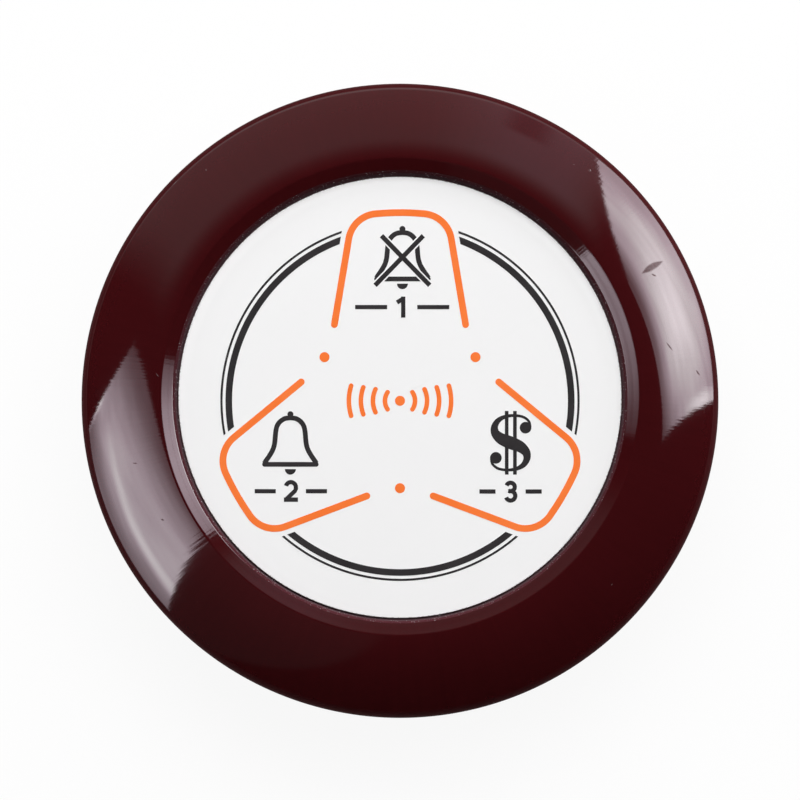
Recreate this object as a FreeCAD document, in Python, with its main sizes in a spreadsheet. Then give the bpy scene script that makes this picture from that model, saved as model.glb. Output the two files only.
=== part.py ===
"""A free-standing round waiter call button with three keys under a printed film.

Frame: millimetres, +Z up. The origin is on the table under the middle of the button. +Y points to
the first key, and the other two follow at thirds of a turn.
"""

import FreeCAD
import Part
import Sketcher
import math
import os
import re

# The driving dimensions. Each is set by itself; everything else follows from them.
SIZES = {
    # Case
    "case_radius": 45.0,  # widest, at the rim
    "rim_height": 12.1,  # the widest place above the table
    "rim_round": 2.4,  # from the side into the slope
    "slope_radius": 18.0,  # the convex slope between crest and rim
    "side_taper": 1.0,  # how much narrower the case is at the parting line
    "parting_height": 6.5,
    "seam_bevel": 0.25,  # on both covers at the parting line
    "wall": 1.8,
    "base_round": 4.5,  # between the underside and the side
    "floor_thickness": 2.0,
    "floor_round": 1.5,
    "foot_rise": 0.8,  # the underside above the table
    "lip_height": 1.0,
    "lip_gap": 0.1,
    "gasket_thickness": 0.5,
    # Crest and recess
    "crest_rise": 1.6,  # the crest above the film
    "crest_round": 0.8,
    "bevel_width": 1.55,
    "bevel_angle": 21.0,
    "recess_lean": 0.55,  # how far the recess wall leans outwards
    "film_radius": 31.2,
    "film_gap": 0.25,
    "film_thickness": 0.3,
    "adhesive_thickness": 0.15,
    "adhesive_inset": 0.2,
    "deck_thickness": 1.8,
    # Keys: the narrow end of each points outwards
    "key_inner": 11.4,
    "key_outer": 25.8,
    "key_inner_half": 8.3,
    "key_outer_half": 6.3,
    "key_corner": 2.6,
    "key_gap": 0.3,
    "key_lip": 1.2,  # how far the flange reaches under the deck
    "key_flange": 0.8,
    "key_wall": 1.2,
    "key_skin": 1.0,
    "key_rib": 0.8,
    "key_boss_radius": 2.4,
    "key_boss_drop": 0.3,
    "key_travel": 0.45,
    # Tact switches
    "switch_side": 6.0,
    "switch_height": 3.4,
    "switch_corner": 0.5,
    "switch_plate": 0.2,
    "cavity_radius": 2.5,
    "stem_radius": 1.75,
    "stem_gap": 0.1,
    "stem_rise": 0.9,
    "stem_float": 0.05,
    "stem_collar": 0.5,
    "dome_radius": 2.3,
    "dome_thickness": 0.1,
    "dome_spare": 0.15,  # what the dome rises more than the travel
    # Circuit board
    "board_gap": 1.0,  # between the board and the case bosses
    "board_thickness": 1.2,
    "board_screw_circle": 24.0,
    "board_boss_radius": 2.6,
    "board_screw_radius": 0.95,
    "board_screw_length": 5.2,
    "board_head_radius": 1.9,
    "board_head_height": 1.3,
    "led_circle": 12.3,
    "led_radius": 1.5,
    "led_base_radius": 1.9,
    "led_base_height": 1.0,
    "led_gap": 0.3,
    "chip_length": 8.6,
    "chip_width": 3.9,
    "chip_height": 1.5,
    "chip_lift": 0.15,
    "lead_pitch": 1.2,
    "lead_width": 0.4,
    "lead_thickness": 0.2,
    "lead_reach": 1.1,
    "crystal_length": 11.0,
    "crystal_width": 4.6,
    "crystal_height": 3.5,
    "crystal_offset": 6.6,
    "crystal_round": 0.4,
    "antenna_inset": 3.1,
    "antenna_start": 165.0,
    "antenna_sweep": 90.0,
    "antenna_height": 2.6,
    "antenna_bend": 1.2,
    "wire_radius": 0.4,
    "small_part_length": 2.0,
    "small_part_width": 1.25,
    "small_part_height": 0.6,
    "small_part_column": 8.0,
    "small_part_pitch": 2.5,
    # Fastening
    "screw_inset": 10.5,  # the screw circle inside the widest radius
    "boss_radius": 3.0,
    "pillar_radius": 3.4,
    "pillar_rise": 0.5,  # the joint of pillar and boss above the parting line
    "pillar_web": 3.0,
    "screw_radius": 1.3,
    "screw_length": 8.0,
    "screw_head_radius": 2.2,
    "screw_head_height": 1.6,
    "screw_head_round": 0.7,
    "screw_gap": 0.2,
    "pilot_gap": 0.05,
    "tip_space": 0.8,
    "boss_cover": 0.6,  # plastic left over the end of a boss
    "hollow_drop": 0.4,  # the hollow's ceiling below the deck's top
    "rib_thickness": 1.2,
    "rib_height": 1.8,
    "foot_radius": 4.0,
    "foot_gap": 0.15,
    "foot_recess": 0.6,
    "foot_edge": 0.3,
    # Battery and door
    "cell_radius": 10.0,
    "cell_height": 3.2,
    "cell_edge": 0.4,
    "cell_cap_inset": 1.1,
    "cell_cap_height": 0.3,
    "cell_gap": 0.25,
    "cell_lift": 0.1,
    "door_floor": 1.6,
    "door_wall": 2.0,
    "door_flange": 1.1,
    "door_flange_reach": 1.5,
    "door_gap": 0.3,
    "door_edge": 0.3,
    "door_turn": 50.0,
    "seat_gap": 0.15,
    "seal_radius": 0.4,
    "seal_room": 0.1,
    "ledge_thickness": 1.2,
    "lug_reach": 1.4,
    "lug_thickness": 0.9,
    "lug_gap": 0.15,
    "lug_angle": 24.0,
    "notch_room": 2.0,
    "stop_room": 1.0,
    "stop_angle": 5.0,
    "well_room": 0.6,
    "well_wall": 1.2,
    "slot_length": 15.0,
    "slot_width": 1.8,
    "slot_depth": 0.7,
    "contact_height": 2.1,  # between the battery and the board
    "contact_thickness": 0.25,
    "contact_width": 4.5,
    "contact_pad": 2.0,
    "contact_stand": 1.3,
    "contact_clearance": 0.3,
}

# Heights and radii that follow from the sizes, in the order in which they build on each other.
LEVELS = {
    # Up from the table
    "floor_top": "foot_rise + floor_thickness",
    "flange_top": "foot_rise + door_flange",
    "ledge_bottom": "flange_top + seat_gap",
    "ledge_top": "ledge_bottom + ledge_thickness",
    "lug_bottom": "ledge_top + lug_gap",
    "lug_top": "lug_bottom + lug_thickness",
    "door_floor_top": "foot_rise + door_floor",
    "cell_bottom": "door_floor_top + cell_lift",
    "cell_top": "cell_bottom + cell_height",
    "board_bottom": "cell_top + contact_height",
    "board_top": "board_bottom + board_thickness",
    "switch_top": "board_top + switch_height",
    "plate_top": "switch_top + switch_plate",
    "stem_top": "plate_top + stem_rise",
    "collar_top": "switch_top - stem_float",
    "stem_bottom": "collar_top - stem_collar",
    "dome_top": "stem_bottom - stem_float",
    "dome_rise": "key_travel + dome_spare",
    "cavity_floor": "dome_top - dome_rise",
    "flange_bottom": "stem_top + key_boss_drop",
    "deck_bottom": "flange_bottom + key_flange",
    "deck_top": "deck_bottom + deck_thickness",
    "film_bottom": "deck_top + adhesive_thickness",
    "film_top": "film_bottom + film_thickness",
    "crest_top": "film_top + crest_rise",
    "skin_bottom": "film_bottom - key_skin",
    # Out from the axis of the battery door
    "cup_radius": "cell_radius + cell_gap",
    "plug_radius": "cup_radius + door_wall",
    "lug_radius": "plug_radius + lug_reach",
    "flange_radius": "plug_radius + door_flange_reach",
    "ledge_radius": "plug_radius + door_gap",
    "notch_radius": "lug_radius + door_gap",
    "port_radius": "flange_radius + door_gap",
    "well_radius": "lug_radius + well_room",
    "well_outside": "well_radius + well_wall",
    "groove_width": "2 * seal_radius + seal_room",
    "groove_depth": "2 * seal_radius - seal_room / 2",
    # Parting line and screws
    "parting_radius": "case_radius - side_taper",
    "seam_radius": "parting_radius + seam_bevel * side_taper / (rim_height - parting_height)",
    "lip_radius": "parting_radius - wall / 2",
    "gasket_seat": "parting_height - lip_height - gasket_thickness",
    "screw_circle": "case_radius - screw_inset",
    "pillar_top": "parting_height + pillar_rise",
    "screw_seat": "pillar_top - pillar_web",
    "board_radius": "screw_circle - boss_radius - board_gap",
    "antenna_circle": "board_radius - antenna_inset",
    "switch_circle": "(key_inner + key_outer) / 2",
    # Recess, bevel and crest
    "recess_radius": "film_radius + film_gap",
    "recess_top_radius": "recess_radius + recess_lean",
    "bevel_top_radius": "recess_top_radius + bevel_width",
    "crest_centre": "crest_top - crest_round",
    "crest_circle": "bevel_top_radius + crest_round * sin(bevel_angle)",
    "bevel_top": "crest_centre + crest_round * cos(bevel_angle)",
    "recess_top": "bevel_top - bevel_width * tan(bevel_angle)",
    "hollow_radius": "recess_radius + wall",
    "hollow_top": "deck_top - hollow_drop",
    # The slope is an arc that touches the crest's round and the rim's round from outside
    "rim_circle": "case_radius - rim_round",
    "to_crest": "slope_radius - crest_round",
    "to_rim": "slope_radius - rim_round",
    "span": "sqrt((rim_circle - crest_circle)^2 + (crest_centre - rim_height)^2)",
    "span_foot": "(to_crest^2 - to_rim^2 + span^2) / (2 * span)",
    "span_drop": "sqrt(to_crest^2 - span_foot^2)",
    "across": "(rim_circle - crest_circle) / span",
    "down": "(crest_centre - rim_height) / span",
    "slope_circle": "crest_circle + span_foot * across - span_drop * down",
    "slope_centre": "crest_centre - span_foot * down - span_drop * across",
}

HOMES = {name: "Sizes." for name in SIZES}
HOMES.update({name: "Levels." for name in LEVELS})

DOC = FreeCAD.newDocument("waiter_call_button")


def make_sheet(label, cells):
    """A spreadsheet with one named cell a row."""
    sheet = DOC.addObject("Spreadsheet::Sheet", label)
    for row, (name, text) in enumerate(cells.items(), 1):
        sheet.set("A%d" % row, name)
        sheet.set("B%d" % row, text)
        sheet.setAlias("B%d" % row, name)
    DOC.recompute()
    return sheet


def bound(text):
    """The text with each size and level written as a reference to its cell."""
    return re.sub(r"[a-z_]+", lambda found: HOMES.get(found.group(), "") + found.group(), text)


SIZE_SHEET = make_sheet("Sizes", {name: str(value) for name, value in SIZES.items()})
LEVEL_SHEET = make_sheet("Levels", {name: "=" + bound(text) for name, text in LEVELS.items()})


def number(text):
    """The present value of an expression."""
    return float(LEVEL_SHEET.evalExpression(bound(text)))


def bind(thing, **properties):
    """Tie properties of an object to expressions; a dot in a name is written as a double underscore."""
    for name, text in properties.items():
        thing.setExpression(name.replace("__", "."), bound(text))


# Sketches -------------------------------------------------------------------------------------


def origin_feature(body, role):
    return next(part for part in body.Origin.OriginFeatures if part.Role == role)


def new_body(label, turn=0):
    """A body, turned about the vertical axis to its place."""
    body = DOC.addObject("PartDesign::Body", label)
    body.Placement = FreeCAD.Placement(FreeCAD.Vector(), FreeCAD.Rotation(FreeCAD.Vector(0, 0, 1), turn))
    return body


def level_sketch(body, name, height):
    """A level sketch at a height."""
    sketch = body.newObject("Sketcher::SketchObject", name)
    sketch.AttachmentSupport = [(origin_feature(body, "XY_Plane"), "")]
    sketch.MapMode = "FlatFace"
    bind(sketch, AttachmentOffset__Base__z=height)
    return sketch


def upright_sketch(body, name, back=None, turn=None):
    """An upright sketch, x outwards and y up: moved back along +Y, or turned about the vertical axis."""
    sketch = body.newObject("Sketcher::SketchObject", name)
    sketch.AttachmentSupport = [(origin_feature(body, "XZ_Plane"), "")]
    sketch.MapMode = "FlatFace"
    if back:
        bind(sketch, AttachmentOffset__Base__z="-(%s)" % back)
    if turn:
        place = FreeCAD.Rotation(FreeCAD.Vector(0, 1, 0), number(turn))
        sketch.AttachmentOffset = FreeCAD.Placement(FreeCAD.Vector(), place)
        bind(sketch, AttachmentOffset__Rotation__Angle=turn)
    return sketch


def hold(sketch, kind, edge, point, text):
    """Hold one coordinate of a point of the sketch at an expression."""
    if text == "0":
        axis = -2 if kind == "DistanceX" else -1
        sketch.addConstraint(Sketcher.Constraint("PointOnObject", edge, point, axis))
        return
    index = sketch.addConstraint(Sketcher.Constraint(kind, -1, 1, edge, point, number(text)))
    bind(sketch, **{"Constraints[%d]" % index: text})


def hold_radius(sketch, edge, text):
    index = sketch.addConstraint(Sketcher.Constraint("Radius", edge, number(text)))
    bind(sketch, **{"Constraints[%d]" % index: text})


def arc_between(start, end, radius):
    """The short arc from start round to end with its centre on the left."""
    chord = end - start
    left = FreeCAD.Vector(-chord.y, chord.x, 0).normalize()
    centre = (start + end) / 2 + left * math.sqrt(max(radius**2 - chord.Length**2 / 4, 0))
    angles = [math.atan2(point.y - centre.y, point.x - centre.x) for point in (start, end)]
    if angles[1] < angles[0]:
        angles[1] += 2 * math.pi
    return Part.ArcOfCircle(Part.Circle(centre, FreeCAD.Vector(0, 0, 1), radius), *angles)


def outline(sketch, corners):
    """A closed loop through corners (x, y). A corner with a turn and a radius starts an arc."""
    points = [FreeCAD.Vector(number(corner[0]), number(corner[1]), 0) for corner in corners]
    edges = []
    for corner, start, end in zip(corners, points, points[1:] + points[:1]):
        if len(corner) == 2:
            edge = sketch.addGeometry(Part.LineSegment(start, end), False)
            edges.append((edge, 1, 2))
            continue
        turn, radius = corner[2:]
        if turn == "left":
            edge = sketch.addGeometry(arc_between(start, end, number(radius)), False)
            edges.append((edge, 1, 2))
        else:
            edge = sketch.addGeometry(arc_between(end, start, number(radius)), False)
            edges.append((edge, 2, 1))
        hold_radius(sketch, edge, radius)
    for corner, (edge, first, last), (following, joined, _) in zip(corners, edges, edges[1:] + edges[:1]):
        sketch.addConstraint(Sketcher.Constraint("Coincident", edge, last, following, joined))
        hold(sketch, "DistanceX", edge, first, corner[0])
        hold(sketch, "DistanceY", edge, first, corner[1])


def rounded_outline(sketch, corners, radius):
    """A closed loop round sharp corners (x, y), counterclockwise, each one rounded."""
    points = [FreeCAD.Vector(number(x), number(y), 0) for x, y in corners]
    count = len(points)
    sharp, arcs, ends = [], [], []
    for index, point in enumerate(points):
        to_last = (points[index - 1] - point).normalize()
        to_next = (points[(index + 1) % count] - point).normalize()
        cut = number(radius) / math.tan(to_last.getAngle(to_next) / 2)
        ends.append((point + to_last * cut, point + to_next * cut))
        sharp.append(sketch.addGeometry(Part.Point(point), True))
        hold(sketch, "DistanceX", sharp[-1], 1, corners[index][0])
        hold(sketch, "DistanceY", sharp[-1], 1, corners[index][1])
        arcs.append(sketch.addGeometry(arc_between(*ends[-1], number(radius)), False))
        hold_radius(sketch, arcs[-1], radius)
    for index in range(count):
        after = (index + 1) % count
        side = sketch.addGeometry(Part.LineSegment(ends[index][1], ends[after][0]), False)
        sketch.addConstraint(Sketcher.Constraint("Tangent", arcs[index], 2, side, 1))
        sketch.addConstraint(Sketcher.Constraint("Tangent", side, 2, arcs[after], 1))
        sketch.addConstraint(Sketcher.Constraint("PointOnObject", sharp[index], 1, side))
        sketch.addConstraint(Sketcher.Constraint("PointOnObject", sharp[after], 1, side))


def circle(sketch, x, y, radius):
    """A circle round (x, y)."""
    centre = FreeCAD.Vector(number(x), number(y), 0)
    edge = sketch.addGeometry(Part.Circle(centre, FreeCAD.Vector(0, 0, 1), number(radius)), False)
    hold(sketch, "DistanceX", edge, 3, x)
    hold(sketch, "DistanceY", edge, 3, y)
    hold_radius(sketch, edge, radius)


def rectangle(sketch, left, right, bottom, top):
    outline(sketch, [(left, bottom), (right, bottom), (right, top), (left, top)])


def long_hole(sketch, reach, middle, radius):
    """Two half circles about (-reach, middle) and (reach, middle), and the level sides between them."""
    up = FreeCAD.Vector(0, 1, 0)
    ends = [FreeCAD.Vector(side * number(reach), number(middle), 0) for side in (1, -1)]
    arcs = []
    for index, centre in enumerate(ends):
        ring = Part.Circle(centre, FreeCAD.Vector(0, 0, 1), number(radius))
        start = math.pi * (index - 0.5)
        arcs.append(sketch.addGeometry(Part.ArcOfCircle(ring, start, start + math.pi), False))
        hold(sketch, "DistanceX", arcs[-1], 3, reach if index == 0 else "-(%s)" % reach)
        hold(sketch, "DistanceY", arcs[-1], 3, middle)
        hold_radius(sketch, arcs[-1], radius)
    for index, side in enumerate((1, -1)):
        shift = up * side * number(radius)
        line = Part.LineSegment(ends[index] + shift, ends[1 - index] + shift)
        edge = sketch.addGeometry(line, False)
        sketch.addConstraint(Sketcher.Constraint("Tangent", arcs[index], 2, edge, 1))
        sketch.addConstraint(Sketcher.Constraint("Tangent", edge, 2, arcs[1 - index], 1))


def key_outline(sketch, grow):
    """The outline of a key, grown evenly on every side: wide near the middle, narrow outside."""
    lean = "(key_inner_half - key_outer_half) / (key_outer - key_inner)"
    side = "(%s) * sqrt(1 + (%s)^2)" % (grow, lean)
    inner = "key_inner_half + (%s) * %s + %s" % (grow, lean, side)
    outer = "key_outer_half - (%s) * %s + %s" % (grow, lean, side)
    near = "key_inner - (%s)" % grow
    far = "key_outer + (%s)" % grow
    corners = [("-(%s)" % inner, near), (inner, near), (outer, far), ("-(%s)" % outer, far)]
    rounded_outline(sketch, corners, "key_corner + (%s)" % grow)


# Features -------------------------------------------------------------------------------------

# How far an edge may lie from where it is looked for.
SLACK = 1e-6


def add_feature(body, kind, name, sketch):
    feature = body.newObject("PartDesign::" + kind, name)
    feature.Profile = sketch
    return feature


def spin(body, kind, name, sketch, angle=None):
    """A Revolution or Groove about the sketch's own upright axis, whole or with an angle."""
    feature = add_feature(body, kind, name, sketch)
    feature.ReferenceAxis = (sketch, ["V_Axis"])
    if angle:
        feature.Midplane = True
        bind(feature, Angle=angle)
    return feature


def pad(body, name, sketch, length, both=False):
    feature = add_feature(body, "Pad", name, sketch)
    feature.Midplane = both
    bind(feature, Length=length)
    return feature


def pocket(body, name, sketch, depth, up=False):
    """A pocket down from the sketch, or up from it; without a depth it goes through."""
    feature = add_feature(body, "Pocket", name, sketch)
    feature.Reversed = up
    if depth:
        bind(feature, Length=depth)
    else:
        feature.Type = "ThroughAll"
    return feature


def around(body, name, features, count):
    """Copies of the features, spread evenly round the vertical axis."""
    pattern = body.newObject("PartDesign::PolarPattern", name)
    pattern.Originals = features
    pattern.Axis = (origin_feature(body, "Z_Axis"), [""])
    pattern.Angle = 360
    pattern.Occurrences = count
    body.Tip = pattern
    return pattern


def dress_edges(body, kind, name, test, size):
    """A Fillet or Chamfer on the edges of the body that pass the test."""
    DOC.recompute()
    edges = ["Edge%d" % index for index, edge in enumerate(body.Shape.Edges, 1) if test(edge)]
    base = body.Tip
    feature = body.newObject("PartDesign::" + kind, name)
    feature.Base = (base, edges)
    bind(feature, **{"Radius" if kind == "Fillet" else "Size": size})
    return feature


def is_upright(edge):
    return isinstance(edge.Curve, Part.Line) and abs(edge.tangentAt(edge.FirstParameter).z) > 1 - SLACK


def is_ring(edge, height, radius):
    """Whether an edge is a circle of this radius at this height."""
    if not isinstance(edge.Curve, Part.Circle):
        return False
    return abs(edge.Curve.Center.z - height) < SLACK and abs(edge.Curve.Radius - radius) < SLACK


# Case -----------------------------------------------------------------------------------------

KEY_COUNT = 3
SCREW_COUNT = 4
SMALL_PART_ROWS = 5
LEADS_A_SIDE = 7
# The cross recess of a screw, as shares of its head's radius and height.
DRIVE_ARM = 0.55
DRIVE_HALF = 0.13
DRIVE_DEPTH = 0.6
# The blunt end of a screw, as a share of its shank's radius.
TIP_SHARE = 0.35
# An arc point of the slope towards the crest's and the rim's centre, at a radius from the slope's.
TOWARDS_CREST = ("slope_circle + {0} * (crest_circle - slope_circle) / to_crest",
                 "slope_centre + {0} * (crest_centre - slope_centre) / to_crest")
TOWARDS_RIM = ("slope_circle + {0} * (rim_circle - slope_circle) / to_rim",
               "slope_centre + {0} * (rim_height - slope_centre) / to_rim")


def on_slope(direction, radius):
    return tuple(text.format(radius) for text in direction)


def upper_cover():
    """The glossy ring of the case: deck, recess wall, bevel, crest, slope, rim and lip, in one wall."""
    body = new_body("upper_cover")
    inside = "(slope_radius - wall)"
    ceiling_end = "slope_circle + sqrt(%s^2 - (hollow_top - slope_centre)^2)" % inside
    profile = upright_sketch(body, "cover_profile")
    outline(profile, [
        ("0", "deck_bottom"),
        ("hollow_radius", "deck_bottom"),
        ("hollow_radius + recess_lean", "hollow_top"),
        (ceiling_end, "hollow_top", "right", inside),
        (*on_slope(TOWARDS_RIM, inside), "right", "rim_round - wall"),
        ("case_radius - wall", "rim_height"),
        ("parting_radius - wall", "parting_height"),
        ("parting_radius - wall", "parting_height - lip_height"),
        ("lip_radius", "parting_height - lip_height"),
        ("lip_radius", "parting_height"),
        ("parting_radius - seam_bevel", "parting_height"),
        ("seam_radius", "parting_height + seam_bevel"),
        ("case_radius", "rim_height", "left", "rim_round"),
        (*on_slope(TOWARDS_RIM, "slope_radius"), "left", "slope_radius"),
        (*on_slope(TOWARDS_CREST, "slope_radius"), "left", "crest_round"),
        ("bevel_top_radius", "bevel_top"),
        ("recess_top_radius", "recess_top"),
        ("recess_radius", "deck_top"),
        ("0", "deck_top"),
    ])
    spin(body, "Revolution", "cover_shell", profile)

    aperture = level_sketch(body, "aperture_outline", "deck_top")
    key_outline(aperture, "key_gap")
    opening = pocket(body, "aperture", aperture, None)
    around(body, "apertures", [opening], KEY_COUNT)
    window = level_sketch(body, "led_window_outline", "deck_top")
    circle(window, "0", "-led_circle", "led_radius + led_gap")
    pocket(body, "led_window", window, None)

    foot = level_sketch(body, "board_boss_outline", "board_top")
    circle(foot, "0", "-board_screw_circle", "board_boss_radius")
    boss = pad(body, "board_boss", foot, "deck_bottom - board_top")
    around(body, "board_bosses", [boss], KEY_COUNT)
    pilot = level_sketch(body, "board_pilot_outline", "board_top")
    circle(pilot, "0", "-board_screw_circle", "board_screw_radius + pilot_gap")
    depth = "board_screw_length - board_thickness + tip_space / 2"
    hole = pocket(body, "board_pilot", pilot, depth, up=True)
    around(body, "board_pilots", [hole], KEY_COUNT)

    foot = level_sketch(body, "boss_outline", "pillar_top")
    circle(foot, "screw_circle", "0", "boss_radius")
    slope_over_boss = "slope_centre + sqrt(slope_radius^2 - (screw_circle + boss_radius - slope_circle)^2)"
    boss_top = "min(%s - boss_cover; deck_top - hollow_drop / 2)" % slope_over_boss
    boss = pad(body, "boss", foot, "%s - pillar_top" % boss_top)
    around(body, "bosses", [boss], SCREW_COUNT)
    pilot = level_sketch(body, "pilot_outline", "pillar_top")
    circle(pilot, "screw_circle", "0", "screw_radius + pilot_gap")
    hole = pocket(body, "pilot", pilot, "screw_length - pillar_web + tip_space", up=True)
    around(body, "pilots", [hole], SCREW_COUNT)
    return body


def lower_cover():
    """The case bottom: bowl, rebate for lip and gasket, battery well with its bayonet ledge."""
    body = new_body("lower_cover")
    rebate = "lip_radius + lip_gap"
    inside = "parting_radius - wall"
    profile = upright_sketch(body, "bowl_profile")
    outline(profile, [
        ("port_radius", "foot_rise"),
        ("parting_radius - base_round", "foot_rise", "left", "base_round"),
        ("parting_radius", "foot_rise + base_round"),
        ("parting_radius", "parting_height - seam_bevel"),
        ("parting_radius - seam_bevel", "parting_height"),
        (rebate, "parting_height"),
        (rebate, "gasket_seat"),
        (inside, "gasket_seat"),
        (inside, "floor_top + floor_round", "right", "floor_round"),
        (inside + " - floor_round", "floor_top"),
        ("well_outside", "floor_top"),
        ("well_outside", "board_bottom"),
        ("well_radius", "board_bottom"),
        ("well_radius", "ledge_top"),
        ("ledge_radius", "ledge_top"),
        ("ledge_radius", "ledge_bottom"),
        ("port_radius", "ledge_bottom"),
    ])
    spin(body, "Revolution", "bowl", profile)

    notch = upright_sketch(body, "notch_profile", turn="90 - door_turn")
    rectangle(notch, "plug_radius", "notch_radius", "flange_top", "lug_bottom")
    cut = spin(body, "Groove", "notch", notch, "lug_angle + 2 * notch_room")
    around(body, "notches", [cut], KEY_COUNT)
    past_lug = "(lug_angle / 2 + stop_room + stop_angle / 2)"
    for name, turn in (("closed_stop", "90 + " + past_lug), ("open_stop", "90 - door_turn - " + past_lug)):
        stop = upright_sketch(body, name + "_profile", turn=turn)
        rectangle(stop, "ledge_radius", "well_radius + well_wall / 2", "ledge_top", "lug_top")
        block = spin(body, "Revolution", name, stop, "stop_angle")
        around(body, name + "s", [block], KEY_COUNT)

    rib = level_sketch(body, "rib_outline", "floor_top")
    half = "rib_thickness / 2"
    rectangle(rib, "well_outside - well_wall / 2", inside + " + wall / 4", "-" + half, half)
    web = pad(body, "rib", rib, "rib_height")
    around(body, "ribs", [web], 2 * SCREW_COUNT)
    column = level_sketch(body, "pillar_outline", "floor_top")
    circle(column, "screw_circle", "0", "pillar_radius")
    pillar = pad(body, "pillar", column, "pillar_top - floor_top")
    around(body, "pillars", [pillar], SCREW_COUNT)
    sink = level_sketch(body, "counterbore_outline", "foot_rise")
    circle(sink, "screw_circle", "0", "screw_head_radius + screw_gap")
    bore = pocket(body, "counterbore", sink, "screw_seat - foot_rise", up=True)
    through = level_sketch(body, "screw_hole_outline", "foot_rise")
    circle(through, "screw_circle", "0", "screw_radius + screw_gap")
    hole = pocket(body, "screw_hole", through, "pillar_top - foot_rise", up=True)
    around(body, "screw_bores", [bore, hole], SCREW_COUNT)
    seat = level_sketch(body, "foot_recess_outline", "foot_rise")
    circle(seat, "screw_circle * cos(45)", "screw_circle * sin(45)", "foot_radius + foot_gap")
    recess = pocket(body, "foot_recess_cut", seat, "foot_recess", up=True)
    around(body, "foot_recesses", [recess], SCREW_COUNT)
    return body


def case_gasket():
    """The flat seal between the lip and the floor of the rebate."""
    body = new_body("case_gasket")
    profile = upright_sketch(body, "gasket_profile")
    inner = "parting_radius - wall + lip_gap"
    rectangle(profile, inner, "lip_radius", "gasket_seat", "parting_height - lip_height")
    spin(body, "Revolution", "gasket_ring", profile)
    return body


def rubber_feet():
    """Four stick-on feet, each half sunk in its recess."""
    body = new_body("rubber_feet")
    foot = level_sketch(body, "foot_outline", "0")
    circle(foot, "screw_circle * cos(45)", "screw_circle * sin(45)", "foot_radius")
    pad(body, "foot", foot, "foot_rise + foot_recess")
    radius = number("foot_radius")
    dress_edges(body, "Chamfer", "foot_bevel", lambda edge: is_ring(edge, 0, radius), "foot_edge")
    around(body, "feet", [], SCREW_COUNT).TransformMode = "Whole shape"
    return body


def screws(label, count, **fit):
    """Pan-head screws in a ring, heads down; the fit gives circle, seat, head, shank and length."""
    body = new_body(label)
    profile = upright_sketch(body, label + "_profile", back="-(%s)" % fit["circle"])
    head_bottom = "{seat} - {head_height}".format(**fit)
    tip = "{seat} + {length}".format(**fit)
    outline(profile, [
        ("0", head_bottom),
        (fit["head"] + " - screw_head_round", head_bottom, "left", "screw_head_round"),
        (fit["head"], head_bottom + " + screw_head_round"),
        (fit["head"], fit["seat"]),
        (fit["shank"], fit["seat"]),
        (fit["shank"], "%s - %s" % (tip, fit["shank"])),
        ("%s * %s" % (TIP_SHARE, fit["shank"]), tip),
        ("0", tip),
    ])
    spin(body, "Revolution", label + "_turned", profile)
    arm = "%s * %s" % (DRIVE_ARM, fit["head"])
    half = "%s * %s" % (DRIVE_HALF, fit["head"])
    for name, across, along in (("_slot", arm, half), ("_cross_slot", half, arm)):
        slot = level_sketch(body, label + name + "_outline", head_bottom)
        middle = fit["circle"]
        near = "-(%s) - %s" % (middle, along)
        far = "-(%s) + %s" % (middle, along)
        rectangle(slot, "-" + across, across, near, far)
        pocket(body, label + name, slot, "%s * %s" % (DRIVE_DEPTH, fit["head_height"]), up=True)
    around(body, label + "_ring", [], count).TransformMode = "Whole shape"
    return body


# Film and keys --------------------------------------------------------------------------------


def overlay_film():
    """The printed film in the recess."""
    film = DOC.addObject("Part::Cylinder", "overlay_film")
    bind(film, Radius="film_radius", Height="film_thickness", Placement__Base__z="film_bottom")
    return film


def film_adhesive():
    """The double-sided sheet under the film, open round the keys and over the LED."""
    body = new_body("film_adhesive")
    sheet = level_sketch(body, "sheet_outline", "deck_top")
    circle(sheet, "0", "0", "film_radius - adhesive_inset")
    pad(body, "sheet", sheet, "adhesive_thickness")
    aperture = level_sketch(body, "sheet_aperture_outline", "film_bottom")
    key_outline(aperture, "key_gap")
    opening = pocket(body, "sheet_aperture", aperture, None)
    around(body, "sheet_apertures", [opening], KEY_COUNT)
    window = level_sketch(body, "sheet_window_outline", "film_bottom")
    circle(window, "0", "-led_circle", "led_radius + led_gap")
    pocket(body, "sheet_window", window, None)
    return body


def key(label, turn):
    """A hollow flanged key with crossed ribs and a boss over its switch."""
    body = new_body(label, turn)
    lip = level_sketch(body, label + "_flange_outline", "flange_bottom")
    key_outline(lip, "key_lip")
    pad(body, label + "_flange", lip, "key_flange")
    top = level_sketch(body, label + "_top_outline", "flange_bottom")
    key_outline(top, "0")
    pad(body, label + "_top", top, "film_bottom - flange_bottom")
    hollow = level_sketch(body, label + "_hollow_outline", "flange_bottom")
    key_outline(hollow, "-key_wall")
    pocket(body, label + "_hollow", hollow, "skin_bottom - flange_bottom", up=True)
    rib = level_sketch(body, label + "_long_rib_outline", "flange_bottom")
    rectangle(rib, "-key_rib / 2", "key_rib / 2", "key_inner + key_wall / 2", "key_outer - key_wall / 2")
    pad(body, label + "_long_rib", rib, "skin_bottom - flange_bottom")
    rib = level_sketch(body, label + "_cross_rib_outline", "flange_bottom")
    reach = "(key_inner_half + key_outer_half) / 2 - key_wall / 2"
    rectangle(rib, "-(%s)" % reach, reach, "switch_circle - key_rib / 2", "switch_circle + key_rib / 2")
    pad(body, label + "_cross_rib", rib, "skin_bottom - flange_bottom")
    boss = level_sketch(body, label + "_boss_outline", "stem_top")
    circle(boss, "0", "switch_circle", "key_boss_radius")
    pad(body, label + "_boss", boss, "skin_bottom - stem_top")
    return body


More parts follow.
